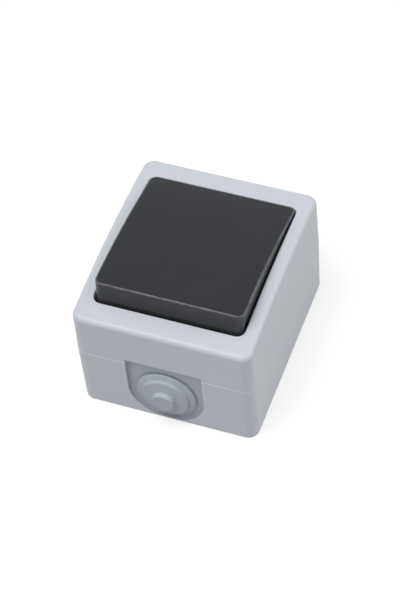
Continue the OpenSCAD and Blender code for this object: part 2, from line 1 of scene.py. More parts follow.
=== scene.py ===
"""Surface mounted light switch for damp rooms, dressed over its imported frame.

The switch lies on its back: +X right, +Y up the wall, +Z out of the wall. Every class below
is one sub-assembly. Its fields are sizes in millimetres, and its methods work out surfaces as
whole numpy arrays, put them into meshes and give them their finishes.
"""
import logging
import math
from collections.abc import Callable, Sequence
from dataclasses import dataclass, field
from enum import Enum

import bpy
import numpy as np
from mathutils import Matrix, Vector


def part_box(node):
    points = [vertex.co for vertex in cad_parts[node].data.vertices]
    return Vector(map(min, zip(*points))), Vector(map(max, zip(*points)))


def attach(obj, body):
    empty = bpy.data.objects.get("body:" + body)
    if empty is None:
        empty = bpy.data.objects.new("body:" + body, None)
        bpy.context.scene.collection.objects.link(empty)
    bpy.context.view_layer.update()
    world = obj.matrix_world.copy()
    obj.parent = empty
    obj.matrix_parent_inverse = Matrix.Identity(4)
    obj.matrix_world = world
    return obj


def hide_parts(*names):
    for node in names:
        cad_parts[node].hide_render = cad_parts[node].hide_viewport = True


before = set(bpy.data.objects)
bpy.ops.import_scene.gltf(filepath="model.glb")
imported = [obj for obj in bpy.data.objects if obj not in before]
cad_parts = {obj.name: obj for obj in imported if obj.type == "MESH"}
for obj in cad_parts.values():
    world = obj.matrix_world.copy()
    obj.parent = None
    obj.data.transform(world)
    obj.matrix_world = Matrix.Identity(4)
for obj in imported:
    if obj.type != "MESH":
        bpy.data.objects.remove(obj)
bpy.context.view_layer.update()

LOG = logging.getLogger("light_switch")
MM = 0.001

Colour = tuple[float, float, float]
Array = np.ndarray


class Body(Enum):
    """Moving groups of the switch."""

    HOUSING = "housing"
    ROCKER = "rocker"
    LEVER = "lever"


class Slot(Enum):
    """Material slots of the record."""

    HOUSING = "housing_plastic"
    ROCKER = "rocker_plastic"
    RUBBER = "grey_rubber"
    INSERT = "insert_plastic"
    BRASS = "contact_brass"
    SILVER = "contact_silver"
    STRAP = "strap_steel"
    SCREW = "screw_steel"
    SPRING = "spring_steel"


class Join(Enum):
    """Ways in which one solid is combined with another."""

    ADD = "UNION"
    CUT = "DIFFERENCE"


# ---- shapes ---------------------------------------------------------------------------------


@dataclass(frozen=True)
class Solid:
    """Closed surface: points in millimetres and the faces between them, turned outwards."""

    points: Array
    faces: list[list[int]]

    def moved(self, x: float = 0.0, y: float = 0.0, z: float = 0.0) -> "Solid":
        """The solid shifted by a distance along each axis."""
        return Solid(self.points + np.array([x, y, z]), self.faces)

    def turned(self, degrees: float, axis: str) -> "Solid":
        """The solid turned about the X, Y or Z axis through the origin."""
        turn = np.array(Matrix.Rotation(math.radians(degrees), 3, axis))
        return Solid(self.points @ turn.T, self.faces)

    def beside(self, other: "Solid") -> "Solid":
        """Both solids as one mesh. They must not touch."""
        shift = len(self.points)
        faces = self.faces + [[i + shift for i in face] for face in other.faces]
        return Solid(np.vstack([self.points, other.points]), faces)


@dataclass(frozen=True)
class Arch:
    """Shallow circular arch over y that is zero at both ends of its span.

    Its height is sqrt(R^2 - y^2) - R + rise, with R the radius through the ends and the top.
    """

    span: float
    rise: float

    def __call__(self, y: Array) -> Array:
        """Height of the arch at each y."""
        radius = (self.span**2 / 4 + self.rise**2) / (2 * self.rise)
        return np.sqrt(radius**2 - y**2) - radius + self.rise


def outline(width: float, height: float, radius: float,
            corner: int = 10, side: int = 22) -> tuple[Array, Array]:
    """Rounded rectangle, counter-clockwise.

    Each quarter is a straight run s -> a + s (b - a) and then an arc c + r (cos t, sin t), so
    every outline with the same counts has matching points.

    Args:
        width: Size along X.
        height: Size along Y.
        radius: Corner radius.
        corner: Steps round one corner.
        side: Steps along one side.

    Returns:
        Points (n, 2) and their outward unit normals (n, 2).
    """
    x, y = width / 2 - radius, height / 2 - radius
    centres = np.array([[x, y], [-x, y], [-x, -y], [x, -y]])
    start = np.arange(4) * math.pi / 2
    facing = np.stack([np.cos(start), np.sin(start)], axis=1)
    run = np.linspace(0, 1, side, endpoint=False)[None, :, None]
    from_point = np.roll(centres, 1, axis=0) + radius * facing
    to_point = centres + radius * facing
    straight = from_point[:, None] * (1 - run) + to_point[:, None] * run
    turn = start[:, None] + np.linspace(0, math.pi / 2, corner, endpoint=False)[None]
    bend = np.stack([np.cos(turn), np.sin(turn)], axis=2)
    arc = centres[:, None] + radius * bend
    points = np.concatenate([straight, arc], axis=1).reshape(-1, 2)
    normals = np.concatenate([np.repeat(facing[:, None], side, axis=1), bend], axis=1)
    return points, normals.reshape(-1, 2)


def ring(width: float, height: float, radius: float, level: float,
         arch: Callable[[Array], Array] | None = None) -> Array:
    """Rounded rectangle as a ring in space, at a level that may follow an arch over y."""
    flat, _ = outline(width, height, radius)
    rise = arch(flat[:, 1]) if arch else 0.0
    return np.column_stack([flat, np.zeros(len(flat)) + level + rise])


def edge_rings(width: float, height: float, radius: float, top: float, blend: float,
               angles: Array, arch: Callable[[Array], Array] | None = None) -> Array:
    """Rings of a rounded edge: c + b (n cos t, sin t) round the ring c that lies b inside.

    Args:
        width: Width at the edge's widest ring.
        height: Height at the edge's widest ring.
        radius: Corner radius at the widest ring.
        top: Level of the flat that the edge ends in.
        blend: Radius b of the edge. A negative one hollows the edge, as at a floor.
        angles: Angles t of the rings in degrees, zero at the side and 90 at the top.
        arch: Arch that the level follows.

    Returns:
        Rings (len(angles), n, 3).
    """
    flat, normal = outline(width - 2 * blend, height - 2 * blend, radius - blend)
    rise = arch(flat[:, 1]) if arch else np.zeros(len(flat))
    t = np.radians(angles)[:, None, None]
    plan = flat[None] + blend * np.cos(t) * normal[None]
    size = abs(blend)
    level = top - size + rise[None, :, None] + size * np.sin(t)
    return np.concatenate([plan, level], axis=2)


def between(first: Array, last: Array, steps: int,
            reshape: Callable[[Array], Array] | None = None) -> Array:
    """Rings ruled from one ring to another, without both of them: (1 - t) a + t b.

    Args:
        first: Ring a.
        last: Ring b.
        steps: Number of rings between the two.
        reshape: Puts the points of each ring on a surface.

    Returns:
        Rings (steps, n, 3).
    """
    t = np.linspace(0, 1, steps + 2)[1:-1, None, None]
    rings = first[None] * (1 - t) + last[None] * t
    return reshape(rings) if reshape else rings


def loft(rings: Sequence[Array], closed: bool = False) -> Solid:
    """Surface over a grid: one parameter runs round each ring, the other from ring to ring.

    Args:
        rings: Rings (n, 3) or stacks of them (k, n, 3), each counter-clockwise from above,
            going up on the outside and down on the inside.
        closed: Joins the last ring to the first; otherwise both ends are capped.

    Returns:
        The closed solid.
    """
    grid = np.concatenate([r[None] if r.ndim == 2 else r for r in rings])
    count, round_ = grid.shape[:2]
    rows = count if closed else count - 1
    here = np.arange(rows)[:, None] * round_ + np.arange(round_)[None]
    beside = np.arange(rows)[:, None] * round_ + (np.arange(round_)[None] + 1) % round_
    above = count * round_
    quads = np.stack([here, beside, (beside + round_) % above, (here + round_) % above], axis=2)
    faces = quads.reshape(-1, 4).tolist()
    if not closed:
        faces.append(list(range(round_ - 1, -1, -1)))
        faces.append(list(range(above - round_, above)))
    return Solid(grid.reshape(-1, 3), faces)


def softened(corners: Sequence[tuple[float, float, float]], steps: int = 5) -> Array:
    """Line through corners (r, z, radius), with an arc of its radius at each inner corner.

    The arc is spread between the two touching points by slerp round its centre.

    Args:
        corners: Radius and height of each corner, and how far it is rounded.
        steps: Steps along each arc.

    Returns:
        Points (n, 2) of the rounded line.
    """
    parts = [np.array([corners[0][:2]])]
    for before, (r, z, size), after in zip(corners, corners[1:], corners[2:]):
        point = np.array([r, z])
        u = np.array(before[:2]) - point
        w = np.array(after[:2]) - point
        u, w = u / np.linalg.norm(u), w / np.linalg.norm(w)
        half = math.acos(float(np.clip(u @ w, -1, 1))) / 2
        if size <= 0 or half > 1.5:
            parts.append(point[None])
            continue
        centre = point + (u + w) / np.linalg.norm(u + w) * size / math.sin(half)
        a = point + u * size / math.tan(half) - centre
        b = point + w * size / math.tan(half) - centre
        sweep = math.pi - 2 * half
        t = np.linspace(0, 1, steps + 1)[:, None]
        parts.append(centre + (np.sin((1 - t) * sweep) * a + np.sin(t * sweep) * b) / math.sin(sweep))
    parts.append(np.array([corners[-1][:2]]))
    return np.concatenate(parts)


def revolved(profile: Array, steps: int = 72) -> Solid:
    """Profile (r, z) turned about Z: r (cos a, sin a), z. Ends on the axis close in one point.

    Args:
        profile: Points from the axis at the bottom, outwards, up and back to the axis.
        steps: Steps round the axis.

    Returns:
        The closed solid.
    """
    angle = np.linspace(0, 2 * math.pi, steps, endpoint=False)
    body = profile[1:-1]
    grid = np.stack([
        body[:, 0, None] * np.cos(angle),
        body[:, 0, None] * np.sin(angle),
        np.repeat(body[:, 1, None], steps, axis=1),
    ], axis=2)
    shell = loft([grid])
    low, high = len(shell.points), len(shell.points) + 1
    faces = shell.faces[:-2]
    last = (len(body) - 1) * steps
    faces += [[low, (i + 1) % steps, i] for i in range(steps)]
    faces += [[high, last + i, last + (i + 1) % steps] for i in range(steps)]
    ends = np.array([[0, 0, profile[0, 1]], [0, 0, profile[-1, 1]]])
    return Solid(np.vstack([shell.points, ends]), faces)


def block(x0: float, x1: float, y0: float, y1: float, z0: float, z1: float) -> Solid:
    """Plain box between two corners, used to add to or cut from a shell."""
    base = np.array([[x1, y0], [x1, y1], [x0, y1], [x0, y0]])
    rings = [np.column_stack([base, np.full(4, z)]) for z in (z0, z1)]
    return loft(rings)


def rod(radius: float, z0: float, z1: float, steps: int = 48) -> Solid:
    """Plain upright cylinder, used to add to or cut from a shell."""
    angle = np.linspace(0, 2 * math.pi, steps, endpoint=False)
    base = radius * np.column_stack([np.cos(angle), np.sin(angle)])
    return loft([np.column_stack([base, np.full(steps, z)]) for z in (z0, z1)])


def prism(flat: Array, z0: float, z1: float) -> Solid:
    """Flat counter-clockwise outline (n, 2) raised from one level to another."""
    return loft([np.column_stack([flat, np.full(len(flat), z)]) for z in (z0, z1)])


# ---- meshes ---------------------------------------------------------------------------------


def mesh_object(name: str, solid: Solid) -> bpy.types.Object:
    """Blender object at the origin that holds a solid, in metres."""
    mesh = bpy.data.meshes.new(name)
    mesh.from_pydata((solid.points * MM).tolist(), [], solid.faces)
    mesh.update()
    made = bpy.data.objects.new(name, mesh)
    bpy.context.scene.collection.objects.link(made)
    return made


def bake_modifiers(made: bpy.types.Object) -> None:
    """Writes what the modifiers of a piece make into its mesh, and clears them."""
    graph = bpy.context.evaluated_depsgraph_get()
    mesh = bpy.data.meshes.new_from_object(made.evaluated_get(graph))
    old = made.data
    made.modifiers.clear()
    made.data = mesh
    mesh.name = made.name
    bpy.data.meshes.remove(old)


def combine(made: bpy.types.Object, how: Join, *tools: Solid) -> None:
    """Adds solids to a piece or cuts them from it, one after another."""
    for solid in tools:
        tool = mesh_object("tool", solid)
        step = made.modifiers.new("step", "BOOLEAN")
        step.operation = how.value
        step.solver = "MANIFOLD"
        step.object = tool
        bake_modifiers(made)
        mesh = tool.data
        bpy.data.objects.remove(tool)
        bpy.data.meshes.remove(mesh)


def face_turns(mesh: bpy.types.Mesh) -> tuple[Array, Array, Array]:
    """Edges that have two faces, the angle in radians that the surface turns there, and the
    curvature per millimetre: that angle over the distance between the faces' middles."""
    count = len(mesh.loops)
    edge_of = np.empty(count, np.int32)
    mesh.loops.foreach_get("edge_index", edge_of)
    sizes = np.empty(len(mesh.polygons), np.int32)
    mesh.polygons.foreach_get("loop_total", sizes)
    normals, middles = (np.empty(3 * len(mesh.polygons), np.float32) for _ in range(2))
    mesh.polygons.foreach_get("normal", normals)
    mesh.polygons.foreach_get("center", middles)
    face_of = np.repeat(np.arange(len(sizes)), sizes)
    order = np.argsort(edge_of, kind="stable")
    edge, face = edge_of[order], face_of[order]
    pair = np.flatnonzero(edge[:-1] == edge[1:])
    first, second = face[pair], face[pair + 1]
    normals, middles = normals.reshape(-1, 3), middles.reshape(-1, 3) / MM
    cosine = np.einsum("ij,ij->i", normals[first], normals[second])
    turn = np.arccos(np.clip(cosine, -1, 1))
    apart = np.linalg.norm(middles[first] - middles[second], axis=1)
    return edge[pair], turn, turn / np.maximum(apart, 1e-3)


def smooth_piece(made: bpy.types.Object, sharp: float = 32.0) -> None:
    """Shades a piece smooth between its sharp edges and marks the edges that hands rub, where the finishes
    also paint a highlight.

    The attribute edge is 1 on sharp edges and where an edge is rounded by 1.5 mm or less, and
    falls to 0 at a radius of 3 mm: (curvature - 1/3) / (1/3), in turns per millimetre.

    Args:
        made: The piece.
        sharp: Angle in degrees past which an edge stays sharp.
    """
    mesh = made.data
    mesh.polygons.foreach_set("use_smooth", np.ones(len(mesh.polygons), bool))
    mesh.set_sharp_from_angle(angle=math.radians(sharp))
    edges, turn, curvature = face_turns(mesh)
    ends = np.empty(2 * len(mesh.edges), np.int32)
    mesh.edges.foreach_get("vertices", ends)
    mark = np.zeros(len(mesh.vertices), np.float32)
    share = np.clip(3 * curvature - 1, 0, 1)
    share[turn > math.radians(sharp)] = 1
    np.maximum.at(mark, ends.reshape(-1, 2)[edges], share[:, None].astype(np.float32))
    layer = mesh.attributes.new("edge", "FLOAT", "POINT")
    layer.data.foreach_set("value", mark)
    weighted = made.modifiers.new("even_normals", "WEIGHTED_NORMAL")
    weighted.keep_sharp = True
    bake_modifiers(made)


# ---- shader groups --------------------------------------------------------------------------


def linear(colour: Colour) -> tuple[float, float, float, float]:
    """Linear colour of a colour that is written as it shows on a screen."""
    shown = np.array(colour)
    flat = np.where(shown <= 0.04045, shown / 12.92, ((shown + 0.055) / 1.055) ** 2.4)
    return (*flat.tolist(), 1.0)


class ShaderGroup:
    """Group of shader nodes with named sockets, built once and shared by the materials."""

    title = ""
    inputs: tuple[tuple[str, str], ...] = ()
    outputs: tuple[tuple[str, str], ...] = ()

    def tree(self) -> bpy.types.NodeTree:
        """The node group, built when it is first asked for."""
        found = bpy.data.node_groups.get(self.title)
        if found:
            return found
        made = bpy.data.node_groups.new(self.title, "ShaderNodeTree")
        for name, kind in self.inputs:
            made.interface.new_socket(name=name, in_out="INPUT", socket_type=kind)
        for name, kind in self.outputs:
            made.interface.new_socket(name=name, in_out="OUTPUT", socket_type=kind)
        wires = Wires(made)
        self.build(wires, wires.node("NodeGroupInput").outputs, wires.node("NodeGroupOutput").inputs)
        return made

    def build(self, wires: "Wires", given: bpy.types.bpy_prop_collection,
              result: bpy.types.bpy_prop_collection) -> None:
        """Adds the nodes of the group between its given and result sockets."""
        raise NotImplementedError


@dataclass
class Wires:
    """Helper that adds nodes to a tree and joins their sockets."""

    tree: bpy.types.NodeTree

    def node(self, kind: str, **settings: object) -> bpy.types.Node:
        """New node of a kind, with its settings."""
        made = self.tree.nodes.new(kind)
        for name, value in settings.items():
            setattr(made, name, value)
        return made

    def set(self, socket: bpy.types.NodeSocket, value: object) -> None:
        """Joins a socket to another one, or gives it a plain value."""
        if isinstance(value, bpy.types.NodeSocket):
            self.tree.links.new(value, socket)
        else:
            socket.default_value = value

    def math(self, operation: str, *values: object, clamp: bool = False) -> bpy.types.NodeSocket:
        """Output of a math node on up to three values."""
        made = self.node("ShaderNodeMath", operation=operation, use_clamp=clamp)
        for socket, value in zip(made.inputs, values):
            self.set(socket, value)
        return made.outputs[0]

    def scaled(self, vector: object, factor: object) -> bpy.types.NodeSocket:
        """A vector times a number."""
        made = self.node("ShaderNodeVectorMath", operation="SCALE")
        self.set(made.inputs[0], vector)
        self.set(made.inputs["Scale"], factor)
        return made.outputs[0]

    def noise(self, vector: object, scale: float, detail: float = 2.0,
              rough: float = 0.5) -> bpy.types.NodeSocket:
        """Noise from 0 to 1 at places in space."""
        made = self.node("ShaderNodeTexNoise", noise_dimensions="3D")
        self.set(made.inputs["Vector"], vector)
        self.set(made.inputs["Scale"], scale)
        self.set(made.inputs["Detail"], detail)
        self.set(made.inputs["Roughness"], rough)
        return made.outputs[0]

    def spread(self, value: object, low: object, high: object,
               from_low: float = 0.3, from_high: float = 0.7) -> bpy.types.NodeSocket:
        """A value carried from one range to another."""
        made = self.node("ShaderNodeMapRange")
        for name, item in (("Value", value), ("From Min", from_low), ("From Max", from_high),
                           ("To Min", low), ("To Max", high)):
            self.set(made.inputs[name], item)
        return made.outputs[0]

    def mix(self, share: object, first: object, second: object) -> bpy.types.NodeSocket:
        """A colour between two colours."""
        made = self.node("ShaderNodeMix", data_type="RGBA")
        self.set(made.inputs[0], share)
        self.set(made.inputs[6], first)
        self.set(made.inputs[7], second)
        return made.outputs[2]

    def shared(self, group: ShaderGroup, **values: object) -> bpy.types.bpy_prop_collection:
        """Outputs of a shared group that is given values by socket name."""
        made = self.node("ShaderNodeGroup", node_tree=group.tree())
        for name, value in values.items():
            self.set(made.inputs[name.replace("_", " ")], value)
        return made.outputs


VECTOR, NUMBER, COLOUR = "NodeSocketVector", "NodeSocketFloat", "NodeSocketColor"


class MouldGrain(ShaderGroup):
    """Fine eroded grain of a mould: two noises, one about four times finer than the other."""

    title = "mould_grain"
    inputs = (("Position", VECTOR), ("Grain", NUMBER), ("Pits", NUMBER))
    outputs = (("Height", NUMBER), ("Fleck", NUMBER))

    def build(self, wires: Wires, given: bpy.types.bpy_prop_collection,
              result: bpy.types.bpy_prop_collection) -> None:
        """Height is the mean of both noises less the pits; Fleck is the finer noise."""
        place = wires.scaled(given["Position"], wires.math("DIVIDE", 1.0, given["Grain"]))
        coarse = wires.noise(place, 1.0, 2.0)
        fine = wires.noise(place, 4.1, 1.0)
        pit = wires.spread(wires.noise(place, 0.23, 4.0, 0.7), 0.0, 1.0, 0.62, 0.72)
        mean = wires.math("MULTIPLY", wires.math("ADD", coarse, fine), 0.5)
        wires.set(result["Height"],
                  wires.math("SUBTRACT", mean, wires.math("MULTIPLY", pit, given["Pits"])))
        wires.set(result["Fleck"], fine)


class ToneDrift(ShaderGroup):
    """Slow change of tone across a moulding or a rolled sheet."""

    title = "tone_drift"
    inputs = (("Position", VECTOR), ("Color", COLOUR), ("Amount", NUMBER), ("Reach", NUMBER))
    outputs = (("Color", COLOUR), ("Drift", NUMBER))

    def build(self, wires: Wires, given: bpy.types.bpy_prop_collection,
              result: bpy.types.bpy_prop_collection) -> None:
        """Color is the given colour times 1 - Amount to 1 + Amount; Drift is the noise."""
        place = wires.scaled(given["Position"], wires.math("DIVIDE", 1.0, given["Reach"]))
        drift = wires.noise(place, 1.0, 3.0, 0.6)
        low = wires.math("SUBTRACT", 1.0, given["Amount"])
        high = wires.math("ADD", 1.0, given["Amount"])
        shade = wires.node("ShaderNodeHueSaturation")
        wires.set(shade.inputs["Value"], wires.spread(drift, low, high))
        wires.set(shade.inputs["Color"], given["Color"])
        wires.set(result["Color"], shade.outputs[0])
        wires.set(result["Drift"], drift)


class EdgeWearAndHighlight(ShaderGroup):
    """Handled edges, painted lighter as a highlight and a little smoother, broken up by noise."""

    title = "edge_wear"
    inputs = (("Position", VECTOR), ("Edge", NUMBER), ("Color", COLOUR), ("Worn", COLOUR),
              ("Amount", NUMBER))
    outputs = (("Color", COLOUR), ("Mask", NUMBER))

    def build(self, wires: Wires, given: bpy.types.bpy_prop_collection,
              result: bpy.types.bpy_prop_collection) -> None:
        """Mask is Edge times a broken noise times Amount; Color goes by the mask to the lighter colour, a
        painted highlight along with rubbing.
        """
        broken = wires.spread(wires.noise(given["Position"], 420.0, 4.0, 0.65), 0.35, 1.0)
        mask = wires.math("MULTIPLY", wires.math("MULTIPLY", given["Edge"], broken),
                          given["Amount"], clamp=True)
        wires.set(result["Mask"], mask)
        wires.set(result["Color"], wires.mix(mask, given["Color"], given["Worn"]))


class SettledDust(ShaderGroup):
    """Thin dust in specks and a slow film, which dulls the surface."""

    title = "settled_dust"
    inputs = (("Position", VECTOR), ("Color", COLOUR), ("Roughness", NUMBER), ("Amount", NUMBER))
    outputs = (("Color", COLOUR), ("Roughness", NUMBER))

    def build(self, wires: Wires, given: bpy.types.bpy_prop_collection,
              result: bpy.types.bpy_prop_collection) -> None:
        """Specks are the peaks of a fine noise, kept where a slow noise is high."""
        film = wires.spread(wires.noise(given["Position"], 55.0, 3.0), 0.1, 1.0)
        speck = wires.spread(wires.noise(given["Position"], 1900.0, 1.0), 0.0, 1.0, 0.66, 0.74)
        mask = wires.math("MULTIPLY", wires.math("MULTIPLY", film, wires.math("ADD", speck, 0.25)),
                          given["Amount"], clamp=True)
        wires.set(result["Color"], wires.mix(mask, given["Color"], linear((0.78, 0.77, 0.75))))
        wires.set(result["Roughness"], wires.math("ADD", given["Roughness"],
                                                  wires.math("MULTIPLY", mask, 0.4)))


class DrawnLines(ShaderGroup):
    """Fine parallel lines of rolled sheet or drawn wire."""

    title = "drawn_lines"
    inputs = (("Position", VECTOR), ("Fineness", NUMBER))
    outputs = (("Height", NUMBER), ("Line", NUMBER))

    def build(self, wires: Wires, given: bpy.types.bpy_prop_collection,
              result: bpy.types.bpy_prop_collection) -> None:
        """Noise that is stretched 25 times along X."""
        stretch = wires.node("ShaderNodeVectorMath", operation="MULTIPLY")
        wires.set(stretch.inputs[0], wires.scaled(given["Position"], given["Fineness"]))
        wires.set(stretch.inputs[1], (0.04, 1.0, 1.0))
        line = wires.noise(stretch.outputs[0], 1.0, 3.0, 0.6)
        wires.set(result["Height"], line)
        wires.set(result["Line"], wires.spread(line, 0.0, 1.0))


# ---- finishes -------------------------------------------------------------------------------


@dataclass(frozen=True)
class Finish:
    """What every finish has: its slot, its colour as it shows, and how rough it is."""

    title: str
    slot: Slot
    colour: Colour
    roughness: float

    def material(self) -> bpy.types.Material:
        """The material of this finish, built when it is first asked for."""
        found = bpy.data.materials.get(self.title)
        if found:
            return found
        made = bpy.data.materials.new(self.title)
        made.use_nodes = True
        wires = Wires(made.node_tree)
        shader = made.node_tree.nodes["Principled BSDF"]
        place = wires.node("ShaderNodeTexCoord").outputs["Object"]
        self.dress(wires, shader, place)
        made.diffuse_color = linear(self.colour)
        return made

    def dress(self, wires: Wires, shader: bpy.types.Node, place: bpy.types.NodeSocket) -> None:
        """Joins the shared groups to the shader."""
        raise NotImplementedError

    @staticmethod
    def bump(wires: Wires, shader: bpy.types.Node, height: bpy.types.NodeSocket,
             depth: float, strength: float = 1.0) -> None:
        """Raises the surface by a height from 0 to 1 times a depth in millimetres."""
        node = wires.node("ShaderNodeBump")
        wires.set(node.inputs["Height"], height)
        node.inputs["Distance"].default_value = depth * MM
        node.inputs["Strength"].default_value = strength
        wires.set(shader.inputs["Normal"], node.outputs[0])


@dataclass(frozen=True)
class MouldedPlastic(Finish):
    """Moulded plastic with an eroded grain, a slow drift of tone and handled edges that are painted lighter
    as a highlight.
    """

    grain: float = 0.30
    depth: float = 0.012
    pits: float = 0.0
    drift: float = 0.015
    swing: float = 0.05
    worn: Colour = (0.9, 0.9, 0.9)
    wear: float = 0.2
    dust: float = 0.03
    shine: float = 0.5

    def dress(self, wires: Wires, shader: bpy.types.Node, place: bpy.types.NodeSocket) -> None:
        """Colour drifts and lightens at edges as a painted highlight, roughness follows the grain, and both
        get dust.
        """
        grain = wires.shared(MouldGrain(), Position=place, Grain=self.grain * MM, Pits=self.pits)
        tone = wires.shared(ToneDrift(), Position=place, Color=linear(self.colour),
                            Amount=self.drift, Reach=18 * MM)
        edge = wires.node("ShaderNodeAttribute", attribute_name="edge").outputs["Fac"]
        # The edge mask paints a lighter highlight on tight edges and makes them a little smoother.
        worn = wires.shared(EdgeWearAndHighlight(), Position=place, Edge=edge, Color=tone["Color"],
                            Worn=linear(self.worn), Amount=self.wear)
        rough = wires.spread(grain["Fleck"], self.roughness - self.swing,
                             self.roughness + self.swing)
        rough = wires.math("SUBTRACT", rough, wires.math("MULTIPLY", worn["Mask"], 0.25))
        dusty = wires.shared(SettledDust(), Position=place, Color=worn["Color"],
                             Roughness=rough, Amount=self.dust)
        wires.set(shader.inputs["Base Color"], dusty["Color"])
        wires.set(shader.inputs["Roughness"], dusty["Roughness"])
        shader.inputs["Specular IOR Level"].default_value = self.shine
        self.bump(wires, shader, grain["Height"], self.depth)


@dataclass(frozen=True)
class SoftRubber(Finish):
    """Matt rubber with a powdery film and shallow flow marks."""

    grain: float = 0.5
    depth: float = 0.02
    shine: float = 0.3

    def dress(self, wires: Wires, shader: bpy.types.Node, place: bpy.types.NodeSocket) -> None:
        """Colour drifts, powder dulls it, and the grain is soft and has pits."""
        grain = wires.shared(MouldGrain(), Position=place, Grain=self.grain * MM, Pits=0.3)
        tone = wires.shared(ToneDrift(), Position=place, Color=linear(self.colour),
                            Amount=0.03, Reach=7 * MM)
        rough = wires.spread(tone["Drift"], self.roughness - 0.06, self.roughness + 0.06)
        dusty = wires.shared(SettledDust(), Position=place, Color=tone["Color"],
                             Roughness=rough, Amount=0.08)
        wires.set(shader.inputs["Base Color"], dusty["Color"])
        wires.set(shader.inputs["Roughness"], dusty["Roughness"])
        shader.inputs["Specular IOR Level"].default_value = self.shine
        self.bump(wires, shader, grain["Height"], self.depth)


@dataclass(frozen=True)
class DrawnMetal(Finish):
    """Rolled, drawn or plated metal with fine lines and a tarnish in patches."""

    tarnish: Colour = (0.4, 0.35, 0.3)
    share: float = 0.2
    fineness: float = 9000.0

    def dress(self, wires: Wires, shader: bpy.types.Node, place: bpy.types.NodeSocket) -> None:
        """Lines change roughness and height, and the tarnish follows a slow noise."""
        lines = wires.shared(DrawnLines(), Position=place, Fineness=self.fineness)
        tone = wires.shared(ToneDrift(), Position=place, Color=linear(self.colour),
                            Amount=0.04, Reach=5 * MM)
        patch = wires.math("MULTIPLY", wires.spread(tone["Drift"], 0.0, 1.0, 0.45, 0.75), self.share)
        wires.set(shader.inputs["Base Color"],
                  wires.mix(patch, tone["Color"], linear(self.tarnish)))
        rough = wires.spread(lines["Line"], self.roughness - 0.08, self.roughness + 0.1, 0.0, 1.0)
        wires.set(shader.inputs["Roughness"], wires.math("ADD", rough, patch))
        shader.inputs["Metallic"].default_value = 1.0
        self.bump(wires, shader, lines["Height"], 0.004, 0.6)


@dataclass(frozen=True)
class PaleFloor(Finish):
    """Plain pale floor that shows white where no shadow falls on it."""

    lift: float = 0.62

    def dress(self, wires: Wires, shader: bpy.types.Node, place: bpy.types.NodeSocket) -> None:
        """The camera, and what mirrors it, sees some white added to the lit floor."""
        tone = wires.shared(ToneDrift(), Position=place, Color=linear(self.colour),
                            Amount=0.003, Reach=0.2)
        wires.set(shader.inputs["Base Color"], tone["Color"])
        shader.inputs["Roughness"].default_value = self.roughness
        shader.inputs["Specular IOR Level"].default_value = 0.0
        shader.inputs["Emission Color"].default_value = (1, 1, 1, 1)
        wires.set(shader.inputs["Emission Strength"],
                  wires.math("MULTIPLY", seen_ray(wires), self.lift))


def seen_ray(wires: Wires) -> bpy.types.NodeSocket:
    """1 for rays from the camera and for those that gloss or clear material sends on."""
    path = wires.node("ShaderNodeLightPath").outputs
    gloss = wires.math("MAXIMUM", path["Is Glossy Ray"], path["Is Transmission Ray"])
    return wires.math("MAXIMUM", path["Is Camera Ray"], gloss)


# The lighter edge colours and their amounts paint a highlight along tight edges, together with rubbing.
HOUSING_GREY = MouldedPlastic("housing_grey", Slot.HOUSING, (0.788, 0.808, 0.838), 0.46,
                              worn=(0.86, 0.87, 0.885), wear=0.3)
POCKET_GREY = MouldedPlastic("pocket_grey", Slot.HOUSING, (0.70, 0.725, 0.765), 0.6,
                             grain=0.45, depth=0.02, wear=0.1)
# The rocker's much lighter edge colour is a painted highlight along its lip.
ROCKER_BLACK = MouldedPlastic("rocker_anthracite", Slot.ROCKER, (0.110, 0.119, 0.136), 0.36,
                              grain=0.22, depth=0.006, drift=0.05, worn=(0.5, 0.505, 0.52),
                              wear=0.7, dust=0.02, shine=0.3)
# A lighter, shinier copy of the rocker's plastic for its walls: painted light on the sides.
ROCKER_SIDE_PAINTED_LIGHT = MouldedPlastic("rocker_side", Slot.ROCKER, (0.165, 0.172, 0.184), 0.3,
                             grain=0.3, depth=0.004, drift=0.04, worn=(0.5, 0.505, 0.52),
                             wear=0.7, dust=0.02, shine=0.4)
INSERT_CREAM = MouldedPlastic("insert_cream", Slot.INSERT, (0.87, 0.85, 0.78), 0.4)
ENTRY_RUBBER = SoftRubber("entry_rubber", Slot.RUBBER, (0.71, 0.735, 0.765), 0.62)
SEAL_RUBBER = SoftRubber("seal_rubber", Slot.RUBBER, (0.45, 0.46, 0.48), 0.7)
STRIP_BRASS = DrawnMetal("strip_brass", Slot.BRASS, (0.86, 0.72, 0.42), 0.3,
                         tarnish=(0.5, 0.36, 0.2))
POINT_SILVER = DrawnMetal("point_silver", Slot.SILVER, (0.9, 0.89, 0.87), 0.2, fineness=4000.0)
STRAP_ZINC = DrawnMetal("strap_zinc", Slot.STRAP, (0.72, 0.73, 0.75), 0.38,
                        tarnish=(0.5, 0.5, 0.52), share=0.35)
SCREW_ZINC = DrawnMetal("screw_zinc", Slot.SCREW, (0.75, 0.76, 0.77), 0.3,
                        tarnish=(0.5, 0.5, 0.5))
SPRING_WIRE = DrawnMetal("spring_wire", Slot.SPRING, (0.62, 0.63, 0.65), 0.25,
                         tarnish=(0.35, 0.35, 0.36))


# ---- sub-assemblies -------------------------------------------------------------------------


def settle(made: bpy.types.Object, body: Body, finish: Finish, *stands_for: str) -> None:
    """Finishes a piece: its material, body, slot and the CAD nodes that it stands for.

    Args:
        made: The piece.
        body: Body that it moves with.
        finish: Its finish, where it has none yet.
        stands_for: Names of the CAD nodes that it replaces.
    """
    if not any(made.data.materials):
        made.data.materials.clear()
        made.data.materials.append(finish.material())
    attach(made, body.value)
    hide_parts(*stands_for)
    LOG.info("%s: %d points on %s", made.name, len(made.data.vertices), body.value)


def refinish(node: str, finish: Finish) -> None:
    """Gives a CAD node that keeps its own shape a finish."""
    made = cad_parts[node]
    if not made.material_slots:
        made.data.materials.append(finish.material())
    for slot in made.material_slots:
        slot.material = finish.material()
    LOG.info("%s: kept, in %s", node, finish.title)


